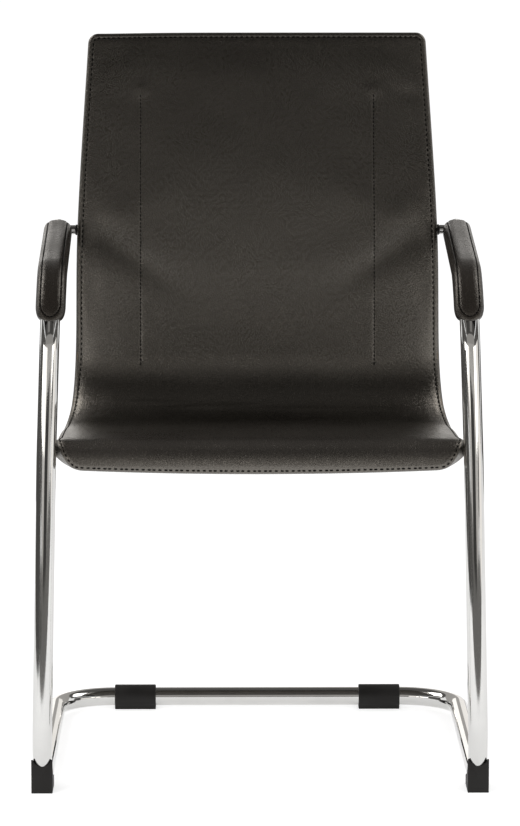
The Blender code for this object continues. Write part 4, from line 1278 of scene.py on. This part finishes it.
def line_frames(points):
    """Lengths, places, side and up directions along an arm, as arrays."""
    places = np.array([tuple(p) for p in points])
    knots = way_along(places)
    lengths = np.linspace(0, knots[-1], int(knots[-1] / 0.0005))
    places = read_off(lengths, knots, places)
    places = smoothed(places, 13, mode="reflect", reflect_type="odd")
    ahead = unit(np.gradient(places, lengths, axis=0))
    side = unit(np.array([1.0, 0, 0]) - ahead * ahead[:, :1])
    return lengths, places, side, np.cross(side, ahead)


def pad_surface(line, start, end, sizes):
    """A function from a length past the pad's start and a turn to a place on the pad."""
    lengths, *axes = line_frames(line)
    half_wide, half_high = sizes.pad_width / 2, sizes.pad_height / 2
    bore = TUBE_RADIUS + 0.0004
    seam_across = half_wide - PAD_SEAM_INSET
    corner = seam_across - PAD_SEAM_CORNER

    def swell(past, rounding):
        near = np.clip(np.minimum(past, end - start - past) / rounding, 0, 1)
        return np.sqrt(np.maximum(0, 1 - (1 - near) ** 2))

    def surface(past, turn, inside=False):
        c, s = np.cos(turn), np.sin(turn)
        length = start + past - PAD_TONGUE * np.maximum(s, 0) * np.exp(-past / 0.03)
        reach = (np.abs(c) ** PAD_SQUARENESS + np.abs(s) ** PAD_SQUARENESS)
        reach = reach ** (-1 / PAD_SQUARENESS)
        thin_wide, thin_high = bore + 0.0008, bore + 0.0006
        wide = thin_wide + (half_wide - thin_wide) * swell(past, sizes.pad_rounding * 1.5)
        high = thin_high + (half_high - thin_high) * swell(past, sizes.pad_rounding * 0.8)
        x, y = c * reach * wide, s * reach * high
        dx, dy = seam_across - np.abs(x), past - PAD_SEAM_END
        rounded = corner - np.hypot(corner - dx, corner - dy)
        away = np.where((dx < corner) & (dy < corner), rounded, np.minimum(dx, dy))
        upper = np.clip((s + 0.15) / 0.3, 0, 1)
        groove = 0.0008 * bump(away, 0, 0.0008)
        puff = 0.0004 * bump(away, 0.005, 0.004) + 0.0003 * bump(away, -0.003, 0.002)
        size = np.hypot(x, y)
        scale = bore / size if inside else 1 + (puff - groove) * upper / size
        place, side, up = (read_off(length, lengths, table) for table in axes)
        return place + (x * scale)[..., None] * side + (y * scale)[..., None] * up

    return surface, seam_across, corner


class CHAIR_OT_arm_pads(bpy.types.Operator):
    """Models the leather sleeves on the arms, with a sewn top panel"""

    bl_idname = "chair.arm_pads"
    bl_label = "Arm pads"

    def execute(self, context):
        sizes, colours = context.scene.chair_sizes, context.scene.chair_colours
        leather = leather_material(sizes, colours, "pad")
        thread = plain_material(colours, "thread")
        for side, sign in SIDES:
            line = side_line(sign, 1.5)
            lengths, places, _, _ = line_frames(line)
            rising = lengths > lengths[np.argmin(places[:, 1])] - 0.45
            start = lengths[np.argmax(rising & (places[:, 2] > PAD_START_HEIGHT))]
            end = lengths[-1] - PAD_END_SETBACK
            surface, *seam = pad_surface(line, start, end, sizes)
            self.sleeve(side, surface, end - start, leather)
            self.sew(side, surface, seam, end - start, sizes, thread)
        return {"FINISHED"}

    def sleeve(self, side, surface, span, leather):
        """A closed sleeve: out along the leather and back along the bore."""
        reach = PAD_END_ROWS
        ends = reach * (1 - np.cos(np.linspace(0, math.pi / 2, 14)))
        middle = np.linspace(reach, span - reach, 170)[1:-1]
        outer = np.concatenate([ends, middle, span - ends[::-1]])
        along = np.concatenate([outer, np.linspace(span, 0, 60)])
        turns = np.linspace(0, 2 * math.pi, 121)
        columns, rows = len(turns) - 1, len(along)
        bpy.ops.mesh.primitive_grid_add(x_subdivisions=columns, y_subdivisions=rows, size=2)
        piece = bpy.context.object
        points = coordinates(piece)
        turn = turns[grid_ranks(points, 0, columns)]
        row = grid_ranks(points, 1, rows) % rows
        leather_side, bore_side = (surface(along[row], turn, inside) for inside in (False, True))
        move_points(piece, np.where((row < len(outer))[:, None], leather_side, bore_side))
        in_edit_mode(piece, (bpy.ops.mesh.remove_doubles, {"threshold": 1e-5}), OUTWARDS)
        nodes = ("arm_pad_cover_" + side, "arm_pad_foam_" + side)
        pad = finished(piece, "arm_pad_" + side, leather, nodes, 60)

    def sew(self, side, surface, seam, span, sizes, thread):
        """Stitches on both sides of the top panel and round its front end."""
        seam_across, corner = seam
        arc = np.linspace(0, math.pi / 2, 40)
        flat = seam_across - corner
        bent = flat + corner * np.cos(arc)
        x = np.concatenate([
            np.full(500, seam_across), bent, np.linspace(flat, -flat, 30)[1:-1],
            -bent[::-1], np.full(500, -seam_across),
        ])
        straight = np.linspace(span - 0.012, PAD_SEAM_END + corner, 500)
        rising = PAD_SEAM_END + corner - corner * np.sin(arc)
        past = np.concatenate([
            straight, rising, np.full(28, PAD_SEAM_END), rising[::-1], straight[::-1],
        ])
        fan = np.linspace(0.02, math.pi - 0.02, 400)
        turns = np.empty_like(x)
        for i, (target, length) in enumerate(zip(x, past)):
            ring = surface(np.full_like(fan, length), fan)
            middle = surface(np.array([length]), np.array([math.pi / 2]))[0]
            turns[i] = fan[np.argmin(np.abs((ring[:, 0] - middle[0]) - target))]
        points = surface(past, turns)
        outwards = points - surface(past, turns, True)
        pitch = sizes.stitch_pitch * 0.62
        places, aheads, normals = stitch_places(points, outwards, pitch)
        places = places + normals * sizes.thread_width * 0.1
        stitches("arm_stitches_" + side, places, aheads, normals, sizes, thread)


class CHAIR_OT_inner_parts(bpy.types.Operator):
    """Gives the rails, panel, inserts and screws inside the chair their finishes"""

    bl_idname = "chair.inner_parts"
    bl_label = "Inner parts"

    def execute(self, context):
        colours = context.scene.chair_colours
        finishes = {use: plain_material(colours, use) for use in ("steel", "board")}
        slots = {part["node"]: part["material_slot"] for part in frame["record"]["subparts"]}
        for name, node in frame["nodes"].items():
            if node.hide_render or slots[name] not in finishes:
                continue
            node.data.materials.clear()
            node.data.materials.append(finishes[slots[name]])
        return {"FINISHED"}


# The stage


CARDS = (
    # name, place, turn in degrees, size, brightness as seen in reflections
    ("front_wall", (0, -9.5, 4.0), (90, 0, 0), (19, 3.2), 0.34),
    ("front_band", (0, -9.4, 1.7), (90, 0, 0), (19, 1.4), 0.45),
    ("front_low", (0, -9.45, 0.5), (90, 0, 0), (19, 1.0), 0.56),
    ("left_wall", (-9.5, -3.0, 2.0), (90, 0, 90), (13, 4.0), 0.10),
    ("right_wall", (9.5, -3.0, 2.0), (90, 0, 90), (13, 4.0), 0.10),
    ("back_wall", (0, 9.0, 4.0), (90, 0, 0), (19, 8.0), 0.42),
    ("front_ceiling", (0, -7.2, 4.72), (0, 0, 0), (19, 4.8), 0.07),
    ("dark_ceiling", (0, -3.2, 4.70), (0, 0, 0), (19, 3.2), 0.01),
    ("overhead", (0, 2.2, 4.70), (0, 0, 0), (19, 7.6), 0.10),
    ("left_top", (-4.4, 2.4, 4.6), (0, 0, 0), (3.6, 3.4), 4.6),
    ("right_top", (4.4, 2.4, 4.6), (0, 0, 0), (3.6, 3.4), 3.4),
    ("dark_front", (-0.15, -7.0, 0.375), (90, 0, 0), (4.4, 0.75), 0.05),
    ("left_inner", (-2.8, -5.3, 0.86), (90, 0, -28), (1.8, 0.76), 1.5),
    ("left_panel", (-4.9, -3.6, 0.86), (90, 0, -54), (3.6, 0.76), 3.2),
    ("right_panel", (4.6, -3.9, 0.86), (90, 0, 50), (3.6, 0.76), 2.6),
    ("right_screen", (4.4, -1.4, 0.55), (90, 0, 75), (2.6, 1.1), 1.1),
    ("left_rim", (-1.6, 8.8, 1.4), (90, 0, 0), (1.9, 2.4), 1.3),
    ("right_rim", (1.6, 8.8, 1.4), (90, 0, 0), (1.9, 2.4), 1.0),
    ("left_arm_fill", (-0.36, -0.64, 0.95), (45, 0, 0), (0.26, 0.30), 0.24),
    ("right_arm_fill", (0.36, -0.64, 0.95), (45, 0, 0), (0.26, 0.30), 0.24),
    ("front_floor", (0, -6.0, 0.003), (0, 0, 0), (12, 8.2), 0.17),
    ("left_floor", (-5.6, 1.0, 0.003), (0, 0, 0), (7.6, 12), 0.08),
    ("back_floor", (0, 6.0, 0.003), (0, 0, 0), (12, 8.0), 0.10),
)
CARD_TINT = (1, 0.97, 0.93, 1)
LAMPS = (
    # name, place, size, power
    ("key_light", (-2.6, -2.6, 3.0), 2.2, 60),
    ("fill_light", (2.8, -2.2, 2.4), 2.2, 30),
)
LAMP_AIM = Vector((0, 0, 0.5))
FLOOR_SIZE = 120
FLOOR_GLOW = 0.62
FLOOR_GLOW_MIRRORED = 0.45
ROOM_LIGHT = 0.55
CAMERA_PLACE = (-0.042, FRONT - 5.088, 1.217)
CAMERA_TURN = (math.radians(90 - 8.138), 0, math.radians(-0.47))
CAMERA_LENS = 178.19


def stage_plane(name, **place):
    """A plane of the stage, its node tree and the socket that its shader goes into."""
    bpy.ops.mesh.primitive_plane_add(**place)
    piece = bpy.context.object
    piece.name = name
    made, tree, shader, output = start_material(name)
    tree.nodes.remove(shader)
    piece.data.materials.append(made)
    return piece, tree, output


def card(name, place, turn, size, strength):
    """A plane that only shows in reflections."""
    rotation = [math.radians(a) for a in turn]
    piece, tree, output = stage_plane(name, size=1, location=place, rotation=rotation)
    piece.scale = (*size, 1)
    bpy.ops.object.transform_apply()
    glow = add_node(tree, "ShaderNodeEmission", {"Color": CARD_TINT, "Strength": strength})
    fill_in(tree, output, {"Surface": glow.outputs[0]})
    piece.visible_camera = piece.visible_diffuse = False
    piece.visible_shadow = piece.visible_transmission = False


class CHAIR_OT_stage(bpy.types.Operator):
    """Sets the floor, the soft light, the cards for reflections and the camera"""

    bl_idname = "chair.stage"
    bl_label = "Stage"

    def execute(self, context):
        self.floor(context.scene.chair_colours)
        self.surroundings(context.scene)
        self.lights()
        self.camera(context.scene)
        context.scene.view_settings.view_transform = "Standard"
        return {"FINISHED"}

    def floor(self, colours):
        """A pale floor that glows a little, so that it runs out into the white room."""
        _, tree, output = stage_plane("pale_floor", size=FLOOR_SIZE)
        path = tree.nodes.new("ShaderNodeLightPath").outputs
        glossy = worked_out(tree, "MAXIMUM", path["Is Glossy Ray"], path["Is Transmission Ray"])
        direct = worked_out(tree, "MULTIPLY", path["Is Camera Ray"], FLOOR_GLOW)
        mirrored = worked_out(tree, "MULTIPLY", glossy, FLOOR_GLOW_MIRRORED)
        strength = worked_out(tree, "ADD", direct, mirrored)
        matt = add_node(tree, "ShaderNodeBsdfDiffuse", {"Color": (*colours.floor, 1)})
        glow = add_node(tree, "ShaderNodeEmission", {"Strength": strength})
        both = add_node(tree, "ShaderNodeAddShader", {0: matt.outputs[0], 1: glow.outputs[0]})
        fill_in(tree, output, {"Surface": both.outputs[0]})

    def surroundings(self, scene):
        """A white room, plain white to the camera and in reflections, with the cards in it."""
        scene.world = bpy.data.worlds.new("white_room")
        scene.world.use_nodes = True
        tree = scene.world.node_tree
        tree.nodes.clear()
        path = tree.nodes.new("ShaderNodeLightPath").outputs
        light, white = (
            add_node(tree, "ShaderNodeBackground", {"Color": (1, 1, 1, 1), "Strength": strength})
            for strength in (ROOM_LIGHT, 1.0)
        )
        seen = worked_out(tree, "MAXIMUM", path["Is Camera Ray"], path["Is Glossy Ray"])
        inputs = {0: seen, 1: light.outputs[0], 2: white.outputs[0]}
        mix = add_node(tree, "ShaderNodeMixShader", inputs)
        add_node(tree, "ShaderNodeOutputWorld", {"Surface": mix.outputs[0]})
        for values in CARDS:
            card(*values)

    def lights(self):
        for name, place, size, power in LAMPS:
            bpy.ops.object.light_add(type="AREA", location=place)
            lamp = bpy.context.object
            lamp.name = name
            lamp.data.size = size
            lamp.data.energy = power
            lamp.visible_glossy = False
            aim = LAMP_AIM - Vector(place)
            lamp.rotation_euler = aim.to_track_quat("-Z", "Y").to_euler()

    def camera(self, scene):
        bpy.ops.object.camera_add(location=CAMERA_PLACE, rotation=CAMERA_TURN)
        scene.camera = bpy.context.object
        scene.camera.data.lens = CAMERA_LENS
        scene.camera.data.sensor_width = 36


class CHAIR_PT_looks(bpy.types.Panel):
    """Lists the steps that dress the chair"""

    bl_label = "Guest chair"
    bl_space_type = "VIEW_3D"
    bl_region_type = "UI"
    bl_category = "Chair"

    def draw(self, context):
        layout = self.layout
        for step in STEPS:
            layout.operator(step.bl_idname)
        for group in (context.scene.chair_sizes, context.scene.chair_colours):
            for key in group.__annotations__:
                layout.prop(group, key)


STEPS = (
    CHAIR_OT_shell,
    CHAIR_OT_rear_cover,
    CHAIR_OT_arm_pads,
    CHAIR_OT_tubes,
    CHAIR_OT_feet,
    CHAIR_OT_glides,
    CHAIR_OT_fixings,
    CHAIR_OT_inner_parts,
    CHAIR_OT_stage,
)
CLASSES = (ChairSizes, ChairColours, *STEPS, CHAIR_PT_looks)


def register():
    for made in CLASSES:
        bpy.utils.register_class(made)
    bpy.types.Scene.chair_sizes = PointerProperty(type=ChairSizes)
    bpy.types.Scene.chair_colours = PointerProperty(type=ChairColours)


def unregister():
    del bpy.types.Scene.chair_sizes
    del bpy.types.Scene.chair_colours
    for made in reversed(CLASSES):
        bpy.utils.unregister_class(made)


def main():
    register()
    select_only()
    bpy.ops.chair.shell()
    bpy.ops.chair.rear_cover()
    bpy.ops.chair.arm_pads()
    bpy.ops.chair.tubes()
    bpy.ops.chair.feet()
    bpy.ops.chair.glides()
    bpy.ops.chair.fixings()
    bpy.ops.chair.inner_parts()
    bpy.ops.chair.stage()


if __name__ == "__main__":
    main()
